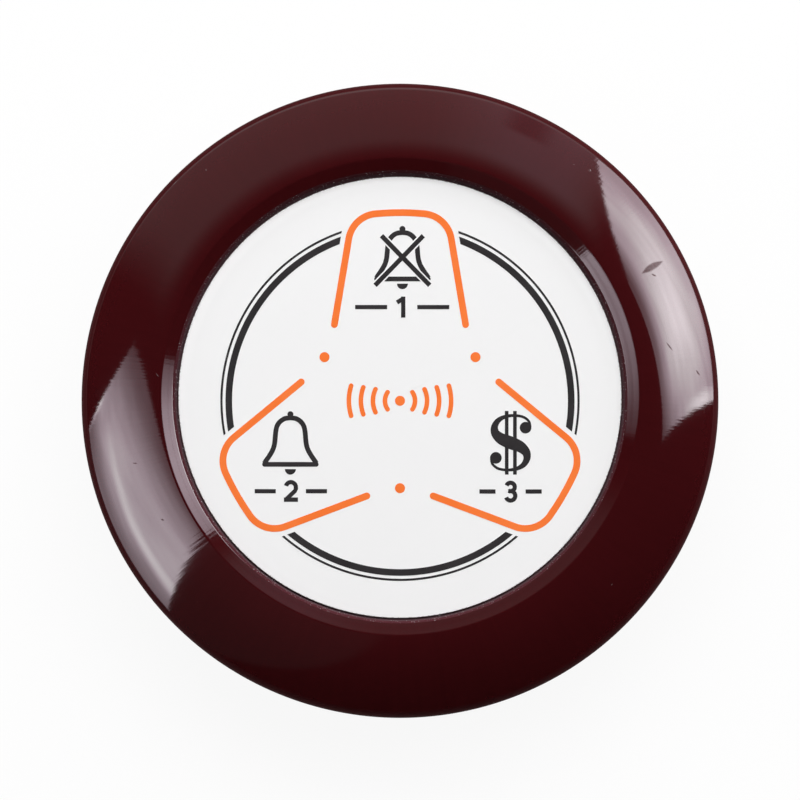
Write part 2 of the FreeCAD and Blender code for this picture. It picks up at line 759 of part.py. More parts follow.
def switch_stem(label, turn):
    """The plunger of a tact switch, held under the metal plate by its collar."""
    body = new_body(label, turn)
    profile = upright_sketch(body, label + "_profile", back="switch_circle")
    outline(profile, [
        ("0", "stem_bottom"),
        ("cavity_radius - stem_gap", "stem_bottom"),
        ("cavity_radius - stem_gap", "collar_top"),
        ("stem_radius", "collar_top"),
        ("stem_radius", "stem_top"),
        ("0", "stem_top"),
    ])
    spin(body, "Revolution", label + "_turned", profile)
    return body


# Switches, board and what is soldered on it ---------------------------------------------------


def switch_square(sketch, half):
    """A square round the middle of the first switch."""
    rectangle(sketch, "-(%s)" % half, half, "switch_circle - (%s)" % half, "switch_circle + (%s)" % half)


def switch_bases():
    """The three switch bodies, each a block with a round cavity for dome and stem."""
    body = new_body("switch_bases")
    square = level_sketch(body, "base_outline", "board_top")
    switch_square(square, "switch_side / 2")
    pad(body, "base_block", square, "switch_height")
    dress_edges(body, "Chamfer", "base_corners", is_upright, "switch_corner")
    cavity = level_sketch(body, "cavity_outline", "switch_top")
    circle(cavity, "0", "switch_circle", "cavity_radius")
    pocket(body, "cavity", cavity, "switch_top - cavity_floor")
    around(body, "bases", [], KEY_COUNT).TransformMode = "Whole shape"
    return body


def switch_plates():
    """The metal plates that close the switches round their stems."""
    body = new_body("switch_plates")
    square = level_sketch(body, "plate_outline", "switch_top")
    switch_square(square, "switch_side / 2")
    pad(body, "plate_sheet", square, "switch_plate")
    dress_edges(body, "Chamfer", "plate_corners", is_upright, "switch_corner")
    hole = level_sketch(body, "plate_hole_outline", "plate_top")
    circle(hole, "0", "switch_circle", "stem_radius + stem_gap")
    pocket(body, "plate_hole", hole, None)
    around(body, "plates", [], KEY_COUNT).TransformMode = "Whole shape"
    return body


def switch_domes():
    """The three snap domes, each a thin cap of a sphere that stands on the floor of its cavity."""
    body = new_body("switch_domes")
    curve = "((dome_radius^2 + dome_rise^2) / (2 * dome_rise))"
    inner_rise = "(dome_rise - dome_thickness)"
    inner_foot = "(dome_radius - dome_thickness)"
    inner_curve = "((%s^2 + %s^2) / (2 * %s))" % (inner_foot, inner_rise, inner_rise)
    profile = upright_sketch(body, "dome_profile", back="switch_circle")
    outline(profile, [
        ("0", "dome_top - dome_thickness", "right", inner_curve),
        (inner_foot, "cavity_floor"),
        ("dome_radius", "cavity_floor", "left", curve),
        ("0", "dome_top"),
    ])
    spin(body, "Revolution", "dome_cap", profile)
    around(body, "domes", [], KEY_COUNT).TransformMode = "Whole shape"
    return body


def circuit_board():
    """The round board on the three bosses of the deck."""
    body = new_body("circuit_board")
    disc = level_sketch(body, "board_outline", "board_bottom")
    circle(disc, "0", "0", "board_radius")
    pad(body, "board_disc", disc, "board_thickness")
    hole = level_sketch(body, "board_hole_outline", "board_top")
    circle(hole, "0", "-board_screw_circle", "board_screw_radius + screw_gap")
    cut = pocket(body, "board_hole", hole, None)
    around(body, "board_holes", [cut], KEY_COUNT)
    return body


def status_led():
    """A round LED under the window in the deck."""
    body = new_body("status_led")
    dome_foot = "deck_bottom - led_gap - led_radius"
    profile = upright_sketch(body, "led_profile", back="-led_circle")
    outline(profile, [
        ("0", "board_top"),
        ("led_base_radius", "board_top"),
        ("led_base_radius", "board_top + led_base_height"),
        ("led_radius", "board_top + led_base_height"),
        ("led_radius", dome_foot, "left", "led_radius"),
        ("0", "deck_bottom - led_gap"),
    ])
    spin(body, "Revolution", "led_turned", profile)
    return body


def radio_chip():
    """The chip in the middle of the board, with seven bent leads a side."""
    body = new_body("radio_chip")
    case = level_sketch(body, "chip_outline", "board_top + chip_lift")
    rectangle(case, "-chip_length / 2", "chip_length / 2", "-chip_width / 2", "chip_width / 2")
    pad(body, "chip_case", case, "chip_height")
    side = body.newObject("Sketcher::SketchObject", "lead_profile")
    side.AttachmentSupport = [(origin_feature(body, "YZ_Plane"), "")]
    side.MapMode = "FlatFace"
    bind(side, AttachmentOffset__Base__z="-%d / 2 * lead_pitch" % (LEADS_A_SIDE - 1))
    root = "chip_width / 2"
    knee = "chip_width / 2 + lead_reach / 2"
    exit_height = "board_top + chip_lift + chip_height / 2"
    outline(side, [
        (root + " - lead_thickness", exit_height),
        (knee, exit_height),
        (knee, "board_top"),
        (root + " + lead_reach", "board_top"),
        (root + " + lead_reach", "board_top + lead_thickness"),
        (knee + " + lead_thickness", "board_top + lead_thickness"),
        (knee + " + lead_thickness", exit_height + " + lead_thickness"),
        (root + " - lead_thickness", exit_height + " + lead_thickness"),
    ])
    lead = pad(body, "lead", side, "lead_width", both=True)
    row = body.newObject("PartDesign::LinearPattern", "lead_row")
    row.Originals = [lead]
    row.Direction = (origin_feature(body, "X_Axis"), [""])
    row.Occurrences = LEADS_A_SIDE
    bind(row, Length="%d * lead_pitch" % (LEADS_A_SIDE - 1))
    body.Tip = row
    other = body.newObject("PartDesign::Mirrored", "lead_rows")
    other.TransformMode = "Whole shape"
    other.MirrorPlane = (origin_feature(body, "XZ_Plane"), [""])
    body.Tip = other
    return body


def crystal_can():
    """The flat metal can of the crystal, beside the chip."""
    body = new_body("crystal_can")
    can = level_sketch(body, "can_outline", "board_top")
    long_hole(can, "(crystal_length - crystal_width) / 2", "crystal_offset", "crystal_width / 2")
    pad(body, "can", can, "crystal_height")
    top = number("board_top + crystal_height")
    dress_edges(body, "Fillet", "can_edge", lambda edge: edge.BoundBox.ZMin > top - SLACK, "crystal_round")
    return body


def antenna_loop():
    """A bent wire that stands on the board and follows its edge for a quarter turn."""
    feature = DOC.addObject("Part::Feature", "antenna_loop")
    ring = number("antenna_circle")
    bend = number("antenna_bend")
    foot = number("board_top")
    top = foot + number("antenna_height")
    start = math.radians(number("antenna_start"))
    sweep = math.radians(number("antenna_sweep"))

    def place(angle, height=top):
        return FreeCAD.Vector(ring * math.cos(angle), ring * math.sin(angle), height)

    edges = []
    for angle, sign in ((start, 1), (start + sweep, -1)):
        tangent = FreeCAD.Vector(-math.sin(angle), math.cos(angle), 0) * sign
        leg_foot = place(angle, height=foot) - tangent * bend
        leg_top = place(angle, height=top - bend) - tangent * bend
        up = FreeCAD.Vector(0, 0, bend)
        middle = leg_top + tangent * bend * (1 - math.sqrt(0.5)) + up * math.sqrt(0.5)
        leg = Part.LineSegment(leg_foot, leg_top).toShape()
        corner = Part.Arc(leg_top, middle, place(angle)).toShape()
        edges.append([leg, corner])
    run = Part.Arc(place(start), place(start + sweep / 2), place(start + sweep)).toShape()
    path = Part.Wire(Part.__sortEdges__(edges[0] + [run] + edges[1]))
    first = edges[0][0].Vertexes[0].Point
    section = Part.Wire(Part.Circle(first, FreeCAD.Vector(0, 0, 1), number("wire_radius")).toShape())
    feature.Shape = path.makePipeShell([section], True, False)
    return feature


def small_parts():
    """Resistors and capacitors in a column on either side of the chip."""
    boxes = []
    for side in (-1, 1):
        for row in range(SMALL_PART_ROWS):
            box = DOC.addObject("Part::Box", "small_part_%d" % (len(boxes) + 1))
            bind(box, Length="small_part_length", Width="small_part_width", Height="small_part_height")
            bind(box, Placement__Base__x="%d * small_part_column - small_part_length / 2" % side)
            bind(box, Placement__Base__y="%d * small_part_pitch - small_part_width / 2" % (row - 2))
            bind(box, Placement__Base__z="board_top")
            boxes.append(box)
    group = DOC.addObject("Part::Compound", "small_parts")
    group.Links = boxes
    return group


# Battery and its door -------------------------------------------------------------------------


def coin_cell():
    """The battery: a can with rounded edges and the raised cap of its other pole."""
    body = new_body("coin_cell")
    shoulder = "cell_top - cell_cap_height"
    profile = upright_sketch(body, "cell_profile")
    outline(profile, [
        ("0", "cell_bottom"),
        ("cell_radius - cell_edge", "cell_bottom", "left", "cell_edge"),
        ("cell_radius", "cell_bottom + cell_edge"),
        ("cell_radius", shoulder + " - cell_edge", "left", "cell_edge"),
        ("cell_radius - cell_edge", shoulder),
        ("cell_radius - cell_cap_inset", shoulder),
        ("cell_radius - cell_cap_inset", "cell_top"),
        ("0", "cell_top"),
    ])
    spin(body, "Revolution", "cell_turned", profile)
    return body


def contact_strip(label, corners):
    """A spring strip: a side view, as wide as the contacts."""
    body = new_body(label)
    profile = upright_sketch(body, label + "_profile")
    outline(profile, corners)
    pad(body, label + "_strip", profile, "contact_width", both=True)
    return body


def positive_contact():
    """The strip that hangs from the board and bears on the side of the can above the door's cup."""
    leg = "cell_radius + contact_stand"
    knee = "(board_bottom + lug_top) / 2"
    tip = "lug_top + contact_clearance"
    return contact_strip("positive_contact", [
        ("cell_radius", tip),
        ("cell_radius + contact_thickness", tip),
        (leg + " + contact_thickness", knee),
        (leg + " + contact_thickness", "board_bottom - contact_thickness"),
        (leg + " + contact_pad", "board_bottom - contact_thickness"),
        (leg + " + contact_pad", "board_bottom"),
        (leg, "board_bottom"),
        (leg, knee),
    ])


def negative_contact():
    """The leaf that slopes down from the board to the middle of the cap and turns up at its end."""
    pad_end = "-3 * contact_pad"
    pad_start = "-2 * contact_pad"
    return contact_strip("negative_contact", [
        (pad_end, "board_bottom - contact_thickness"),
        (pad_start, "board_bottom - contact_thickness"),
        ("0", "cell_top"),
        ("contact_pad", "cell_top + contact_height / 3"),
        ("contact_pad", "cell_top + contact_height / 3 + contact_thickness"),
        ("0", "cell_top + contact_thickness"),
        (pad_start, "board_bottom"),
        (pad_end, "board_bottom"),
    ])


def battery_door():
    """The twist door: flange with a coin slot, cup round the battery and three bayonet lugs."""
    body = new_body("battery_door")
    profile = upright_sketch(body, "door_profile")
    outline(profile, [
        ("0", "foot_rise"),
        ("flange_radius", "foot_rise"),
        ("flange_radius", "flange_top"),
        ("plug_radius + groove_width", "flange_top"),
        ("plug_radius + groove_width", "flange_top - groove_depth"),
        ("plug_radius", "flange_top - groove_depth"),
        ("plug_radius", "lug_top"),
        ("cup_radius", "lug_top"),
        ("cup_radius", "door_floor_top"),
        ("0", "door_floor_top"),
    ])
    spin(body, "Revolution", "door_turned", profile)
    flange_edge = number("flange_radius")
    dress_edges(body, "Chamfer", "door_bevel",
                lambda edge: is_ring(edge, number("foot_rise"), flange_edge), "door_edge")
    lug = upright_sketch(body, "lug_profile", turn="90")
    rectangle(lug, "plug_radius - door_wall / 4", "lug_radius", "lug_bottom", "lug_top")
    ear = spin(body, "Revolution", "lug", lug, "lug_angle")
    around(body, "lugs", [ear], KEY_COUNT)
    slot = level_sketch(body, "slot_outline", "foot_rise")
    long_hole(slot, "(slot_length - slot_width) / 2", "0", "slot_width / 2")
    pocket(body, "coin_slot", slot, "slot_depth", up=True)
    return body


def door_seal():
    """The O-ring in the groove of the door's flange."""
    seal = DOC.addObject("Part::Torus", "door_seal")
    bind(seal, Radius1="plug_radius + groove_width / 2", Radius2="seal_radius")
    bind(seal, Placement__Base__z="flange_top - groove_depth + seal_radius")
    return seal


# Build, check and export ----------------------------------------------------------------------


def key_sets():
    """The three keys and their switch stems, each at its third of the turn."""
    made = []
    for index, name in enumerate(("clear", "call", "bill")):
        turn = 360 / KEY_COUNT * index
        made.append(key(name + "_key", turn))
        made.append(switch_stem(name + "_stem", turn))
    return made


def case_screws():
    return screws("case_screws", SCREW_COUNT, circle="screw_circle", seat="screw_seat",
                  head="screw_head_radius", head_height="screw_head_height",
                  shank="screw_radius", length="screw_length")


def board_screws():
    return screws("board_screws", KEY_COUNT, circle="board_screw_circle", seat="board_bottom",
                  head="board_head_radius", head_height="board_head_height",
                  shank="board_screw_radius", length="board_screw_length")


def check():
    """Stop if anything in the document failed to build."""
    DOC.recompute()
    for thing in DOC.Objects:
        if {"Invalid", "Error"} & set(thing.State):
            raise RuntimeError("%s failed: %s" % (thing.Label, thing.State))


def export(nodes):
    """Write each sub-part to a file of its own."""
    os.makedirs("parts", exist_ok=True)
    for node in nodes:
        if node.Shape.isNull() or not node.Shape.isValid():
            raise RuntimeError("%s has no valid shape" % node.Label)
    for node in nodes:
        node.Shape.exportStep("parts/%s.step" % node.Label)


def main():
    makers = (upper_cover, lower_cover, case_gasket, rubber_feet, case_screws,
              overlay_film, film_adhesive, switch_bases, switch_plates, switch_domes,
              circuit_board, board_screws, status_led, radio_chip, crystal_can, antenna_loop,
              small_parts, coin_cell, positive_contact, negative_contact, battery_door, door_seal)
    nodes = [make() for make in makers] + key_sets()
    check()
    export(nodes)


main()
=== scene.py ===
"""A waiter call button: a glossy round case with three keys under a printed film."""

from math import acos, asin, atan2, ceil, cos, degrees, floor, hypot, pi, radians, sin, sqrt, tan

import bpy
from mathutils import Matrix, Vector


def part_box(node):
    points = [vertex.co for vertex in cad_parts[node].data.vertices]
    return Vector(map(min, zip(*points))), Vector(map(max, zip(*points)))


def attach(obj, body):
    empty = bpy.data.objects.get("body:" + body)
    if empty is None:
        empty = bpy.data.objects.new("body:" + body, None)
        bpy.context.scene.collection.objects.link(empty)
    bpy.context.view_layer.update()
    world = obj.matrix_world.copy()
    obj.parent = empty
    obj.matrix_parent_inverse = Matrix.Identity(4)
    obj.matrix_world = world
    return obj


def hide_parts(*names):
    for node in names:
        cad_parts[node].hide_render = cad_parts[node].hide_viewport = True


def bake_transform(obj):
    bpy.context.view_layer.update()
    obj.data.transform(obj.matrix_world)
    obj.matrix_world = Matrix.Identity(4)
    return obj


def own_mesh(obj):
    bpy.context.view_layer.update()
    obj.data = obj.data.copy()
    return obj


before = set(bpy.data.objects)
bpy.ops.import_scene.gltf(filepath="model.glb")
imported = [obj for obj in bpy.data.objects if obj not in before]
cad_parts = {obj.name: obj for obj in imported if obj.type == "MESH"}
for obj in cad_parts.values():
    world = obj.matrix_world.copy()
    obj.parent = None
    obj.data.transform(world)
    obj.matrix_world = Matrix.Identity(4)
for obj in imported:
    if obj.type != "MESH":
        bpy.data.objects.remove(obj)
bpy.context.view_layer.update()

MM = 0.001
STEPS = 256  # facets round the upright axis
THIRDS = (0, 120, 240)
QUARTERS = (0, 90, 180, 270)
DIAGONALS = (45, 135, 225, 315)

# Sizes in millimetres; heights are above the table.
CASE_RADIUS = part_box("upper_cover")[1].x / MM
CREST_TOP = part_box("upper_cover")[1].z / MM
RIM_HEIGHT, RIM_ROUND = 12.1, 2.4
RECESS_RADIUS, RECESS_LEAN = 31.45, 0.55
BEVEL_WIDTH, BEVEL_ANGLE = 1.55, 21.0
CREST_ROUND, SLOPE_RADIUS = 0.8, 18.0
DECK_TOP, DECK_BOTTOM = 16.4, 14.6
WALL = 1.8
HOLLOW_TOP = 16.0
PARTING, PARTING_RADIUS = 6.5, 44.0
SEAM_BEVEL = 0.25
LIP_RADIUS, LIP_HEIGHT, LIP_GAP = 43.1, 1.0, 0.1
GASKET_SEAT = 5.0
FLOOR_BOTTOM, FLOOR_TOP = 0.8, 2.8
BASE_ROUND, FLOOR_ROUND = 4.5, 1.5
BOARD_BOTTOM, BOARD_TOP = 7.8, 9.0
OVERLAP = 0.3  # how far one solid reaches into another that it is united with
SCREW_CIRCLE, BOARD_SCREW_CIRCLE = 34.5, 24.0
BOSS_RADIUS, BOARD_BOSS_RADIUS = 3.0, 2.6  # what the screws are driven into
PILOT_RADIUS, BOARD_PILOT_RADIUS = 1.35, 0.97
PILOT_TOP, BOARD_PILOT_TOP = 12.8, 13.4
PILLAR_RADIUS, PILLAR_TOP = 3.4, 7.0  # round the screws in the lower cover
BORE_RADIUS, BORE_TOP, HOLE_RADIUS = 2.4, 4.0, 1.5
RIB_HALF, RIB_TOP = 0.6, 4.6
FOOT_RADIUS, FOOT_TOP = 4.0, 1.4
WELL_RADIUS, WELL_BEVEL = 14.05, 0.12  # the opening for the battery door
WELL_INSIDE, WELL_OUTSIDE = 14.25, 15.45
LEDGE_RADIUS, LEDGE_BOTTOM, LEDGE_TOP = 12.55, 2.05, 3.25  # what the door's lugs hold on to
NOTCH_MIDDLE, NOTCH_SWEEP, NOTCH_RADIUS = 40, 28, 13.95
LUG_MIDDLE, LUG_SWEEP, LUG_RADIUS = 90, 24, 13.65
LUG_BOTTOM, LUG_TOP = 3.4, 4.3
STOP_TURN, STOP_SWEEP, STOP_RADIUS = 15.5, 5, 14.85
DOOR_RADIUS, DOOR_BEVEL, FLANGE_TOP = 13.75, 0.3, 1.9
SEAL_RADIUS, SEAL_BOTTOM = 13.15, 1.15
CUP_RADIUS, CUP_INSIDE, CUP_FLOOR, CUP_BEVEL = 12.25, 10.25, 2.4, 0.2
SLOT_REACH, SLOT_HALF, SLOT_DEPTH = 6.6, 0.9, 0.7
MARK_CIRCLE, MARK_DEPTH = 16.6, 0.15
FILM_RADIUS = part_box("overlay_film")[1].x / MM
FILM_BOTTOM, FILM_TOP = (corner.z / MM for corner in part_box("overlay_film"))
LED_CIRCLE, LED_WINDOW = 12.3, 1.8
KEY_INNER, KEY_OUTER = 11.4, 25.8
KEY_INNER_HALF, KEY_OUTER_HALF = 8.3, 6.3
KEY_LEAN = (KEY_INNER_HALF - KEY_OUTER_HALF) / (KEY_OUTER - KEY_INNER)
KEY_CORNER, KEY_GAP = 2.6, 0.3
KEY_TURNS = dict(zip(("clear", "call", "bill"), THIRDS))  # the first one lies towards +Y
DOME_RADIUS, DOME_THICKNESS = 2.3, 0.1


# Modelling ----------------


def only(*pieces):
    """Select these pieces and nothing else."""
    bpy.ops.object.select_all(action="DESELECT")
    for piece in pieces:
        piece.select_set(True)
    bpy.context.view_layer.objects.active = pieces[0]
    return pieces[0]


def draw(name, places):
    """A new piece in edit mode: edges drawn from each place to the next one."""
    bpy.ops.object.select_all(action="DESELECT")
    bpy.ops.mesh.primitive_plane_add(size=MM)
    piece = bpy.context.object
    piece.name = piece.data.name = name
    bpy.ops.object.mode_set(mode="EDIT")
    bpy.ops.mesh.merge(type="CENTER")
    bpy.ops.transform.translate(value=Vector(places[0]) * MM)
    for start, end in zip(places, places[1:]):
        step = (Vector(end) - Vector(start)) * MM
        bpy.ops.mesh.extrude_region_move(TRANSFORM_OT_translate={"value": step})
    bpy.ops.mesh.select_all(action="SELECT")
    return piece


def close_up(piece):
    """Merge what meets, turn the faces outwards, leave edit mode and smooth the shading."""
    bpy.ops.mesh.select_all(action="SELECT")
    bpy.ops.mesh.remove_doubles(threshold=0.001 * MM)
    bpy.ops.mesh.normals_make_consistent(inside=False)
    bpy.ops.object.mode_set(mode="OBJECT")
    return smoothed(piece)


def smoothed(piece):
    """Smooth the shading where faces meet at less than 30 degrees."""
    only(piece)
    bpy.ops.object.shade_smooth_by_angle(angle=radians(30))
    return piece


def turned(name, profile, sweep=360, start=0, steps=STEPS):
    """A solid turned about the upright axis from a profile of radii and heights."""
    piece = draw(name, [(radius, 0, height) for radius, height in profile])
    bpy.ops.mesh.spin(steps=steps, angle=radians(sweep), center=(0, 0, 0), axis=(0, 0, -1))
    if sweep < 360:
        bpy.ops.mesh.select_all(action="SELECT")
        bpy.ops.mesh.remove_doubles(threshold=0.001 * MM)
        bpy.ops.mesh.select_all(action="DESELECT")
        bpy.ops.mesh.select_non_manifold()
        bpy.ops.mesh.fill_holes(sides=0)
    close_up(piece)
    return rotated(piece, start)


def prism(name, outline, bottom, top):
    """An upright solid over an outline of (x, y)."""
    piece = draw(name, [(x, y, bottom) for x, y in outline])
    bpy.ops.mesh.edge_face_add()
    bpy.ops.mesh.extrude_region_move(TRANSFORM_OT_translate={"value": (0, 0, (top - bottom) * MM)})
    return close_up(piece)


def pin(name, x, y, radius, bottom, top, sides=64):
    """An upright round solid."""
    bpy.ops.object.select_all(action="DESELECT")
    middle = Vector((x, y, (bottom + top) / 2)) * MM
    bpy.ops.mesh.primitive_cylinder_add(vertices=sides, radius=radius * MM,
                                        depth=(top - bottom) * MM, location=middle)
    piece = bpy.context.object
    piece.name = piece.data.name = name
    bpy.ops.object.transform_apply()
    return smoothed(piece)


def moved(piece, x, y, z=0):
    """Shift a piece's mesh."""
    piece.data.transform(Matrix.Translation(Vector((x, y, z)) * MM))
    return piece


def rotated(piece, turn):
    """Turn a piece's mesh about the upright axis, in degrees."""
    piece.data.transform(Matrix.Rotation(radians(turn), 4, "Z"))
    return piece


def around(piece, turns):
    """Copies of a piece at these turns, joined into one piece."""
    copies = [piece]
    for turn in turns[1:]:
        copy = piece.copy()
        copy.data = piece.data.copy()
        bpy.context.collection.objects.link(copy)
        copies.append(rotated(copy, turn))
    rotated(piece, turns[0])
    return joined(*copies)


def joined(*pieces):
    """Pieces made one without uniting their solids."""
    only(*pieces)
    if len(pieces) > 1:
        bpy.ops.object.join()
    return pieces[0]


def combine(piece, tool, operation="DIFFERENCE"):
    """Cut a tool out of a piece, or unite the two, and use the tool up."""
    only(piece)
    modifier = piece.modifiers.new("shape", "BOOLEAN")
    modifier.operation, modifier.solver, modifier.object = operation, "EXACT", tool
    bpy.ops.object.modifier_apply(modifier=modifier.name)
    bpy.data.objects.remove(tool)
    return piece


def arc(centre, radius, start, end, count):
    """Points on an arc, by degrees from the first axis."""
    angles = [radians(start + (end - start) * index / count) for index in range(count + 1)]
    return [(centre[0] + radius * cos(a), centre[1] + radius * sin(a)) for a in angles]


def oblong(low, high, bottom, top):
    """The closed profile of a block, its first corner given again at the end."""
    return [(low, bottom), (high, bottom), (high, top), (low, top), (low, bottom)]


def touching_arc(radius, first, first_round, second, second_round):
    """Centre and end angles of an arc that passes smoothly over two smaller rounds."""
    first, second = Vector(first), Vector(second)
    span = second - first
    to_first, to_second = radius - first_round, radius - second_round
    foot = (to_first ** 2 - to_second ** 2 + span.length_squared) / (2 * span.length)
    drop = sqrt(to_first ** 2 - foot ** 2)
    along = span.normalized()
    centre = first + along * foot + Vector((along.y, -along.x)) * drop
    start, end = (degrees(atan2(*(place - centre).yx)) for place in (first, second))
    return tuple(centre), start, end


def key_outline(grow):
    """The outline of the first key, grown evenly: wide near the middle, narrow outside."""
    side = grow * hypot(1, KEY_LEAN)
    inner = KEY_INNER_HALF + grow * KEY_LEAN + side
    outer = KEY_OUTER_HALF - grow * KEY_LEAN + side
    near, far = KEY_INNER - grow, KEY_OUTER + grow
    corners = [(-inner, near), (inner, near), (outer, far), (-outer, far)]
    return rounded(corners, [KEY_CORNER + grow] * 4)


def rounded(corners, radii, closed=True, steps=10):
    """Points along straight runs through the corners, each corner rounded."""
    points = [Vector(corner) for corner in corners]
    path = []
    for index, point in enumerate(points):
        if not closed and index in (0, len(points) - 1):
            path.append(tuple(point))
            continue
        before = (points[index - 1] - point).normalized()
        after = (points[(index + 1) % len(points)] - point).normalized()
        half = before.angle(after) / 2
        inward = (before + after).normalized() * (radii[index] / sin(half))
        start, end = (degrees(atan2(*(run * inward.dot(run) - inward).yx)) for run in (before, after))
        turn = (end - start + 180) % 360 - 180
        path += arc(point + inward, radii[index], start, start + turn, steps)
    return path


# Case ----------------


def upper_cover():
    """The glossy ring: deck, recess wall, bevel, crest, slope, rim and lip."""
    recess_top = RECESS_RADIUS + RECESS_LEAN
    foot_run, foot_rise = 0.15, 0.1  # the small bevel at the foot of the recess wall
    strip = 0.06  # narrow strips beside an edge keep its shading crisp
    lean = radians(BEVEL_ANGLE)
    crest = (recess_top + BEVEL_WIDTH + CREST_ROUND * sin(lean), CREST_TOP - CREST_ROUND)
    rim = (CASE_RADIUS - RIM_ROUND, RIM_HEIGHT)
    slope, slope_start, slope_end = touching_arc(SLOPE_RADIUS, crest, CREST_ROUND, rim, RIM_ROUND)
    inside = SLOPE_RADIUS - WALL
    ceiling = degrees(asin((HOLLOW_TOP - slope[1]) / inside))
    crest_start = 90 + BEVEL_ANGLE
    bevel_end = arc(crest, CREST_ROUND, crest_start, crest_start, 1)[0]
    bevel = [(radius, bevel_end[1] - (bevel_end[0] - radius) * tan(lean))
             for radius in (recess_top + strip, recess_top + 2 * strip, bevel_end[0] - strip)]
    taper = (CASE_RADIUS - PARTING_RADIUS) / (RIM_HEIGHT - PARTING)
    profile = [
        (0, DECK_TOP), (RECESS_RADIUS - foot_run, DECK_TOP), (RECESS_RADIUS, DECK_TOP + foot_rise),
        (recess_top, bevel[0][1] - strip), *bevel,
        *arc(crest, CREST_ROUND, crest_start, slope_start, 10),
        *arc(slope, SLOPE_RADIUS, slope_start, slope_end, 36)[1:],
        *arc(rim, RIM_ROUND, slope_end, 0, 20)[1:],
        (PARTING_RADIUS + SEAM_BEVEL * taper, PARTING + SEAM_BEVEL),
        (PARTING_RADIUS - SEAM_BEVEL, PARTING),
        (LIP_RADIUS, PARTING), (LIP_RADIUS, PARTING - LIP_HEIGHT),
        (PARTING_RADIUS - WALL, PARTING - LIP_HEIGHT), (PARTING_RADIUS - WALL, PARTING),
        *arc(rim, RIM_ROUND - WALL, 0, slope_end, 6),
        *arc(slope, inside, slope_end, ceiling, 12)[1:],
        (RECESS_RADIUS + WALL + RECESS_LEAN, HOLLOW_TOP), (RECESS_RADIUS + WALL, DECK_BOTTOM),
        (0, DECK_BOTTOM),
    ]
    cover = turned("upper_cover_shell", profile)
    below, above = DECK_BOTTOM - 1, DECK_TOP + 1
    openings = joined(around(prism("openings", key_outline(KEY_GAP), below, above), THIRDS),
                      pin("window", 0, -LED_CIRCLE, LED_WINDOW, below, above))
    combine(cover, openings)
    bosses = joined(
        around(pin("bosses", 0, -BOARD_SCREW_CIRCLE, BOARD_BOSS_RADIUS, BOARD_TOP,
                   DECK_BOTTOM + 2 * OVERLAP), THIRDS),
        around(pin("case_bosses", SCREW_CIRCLE, 0, BOSS_RADIUS, PILLAR_TOP, HOLLOW_TOP + 0.2), QUARTERS))
    combine(cover, bosses, "UNION")
    pilots = joined(
        around(pin("pilots", 0, -BOARD_SCREW_CIRCLE, BOARD_PILOT_RADIUS, BOARD_TOP - 1,
                   BOARD_PILOT_TOP, sides=32), THIRDS),
        around(pin("case_pilots", SCREW_CIRCLE, 0, PILOT_RADIUS, PILLAR_TOP - 1, PILOT_TOP, sides=32),
               QUARTERS))
    return smoothed(combine(cover, pilots))


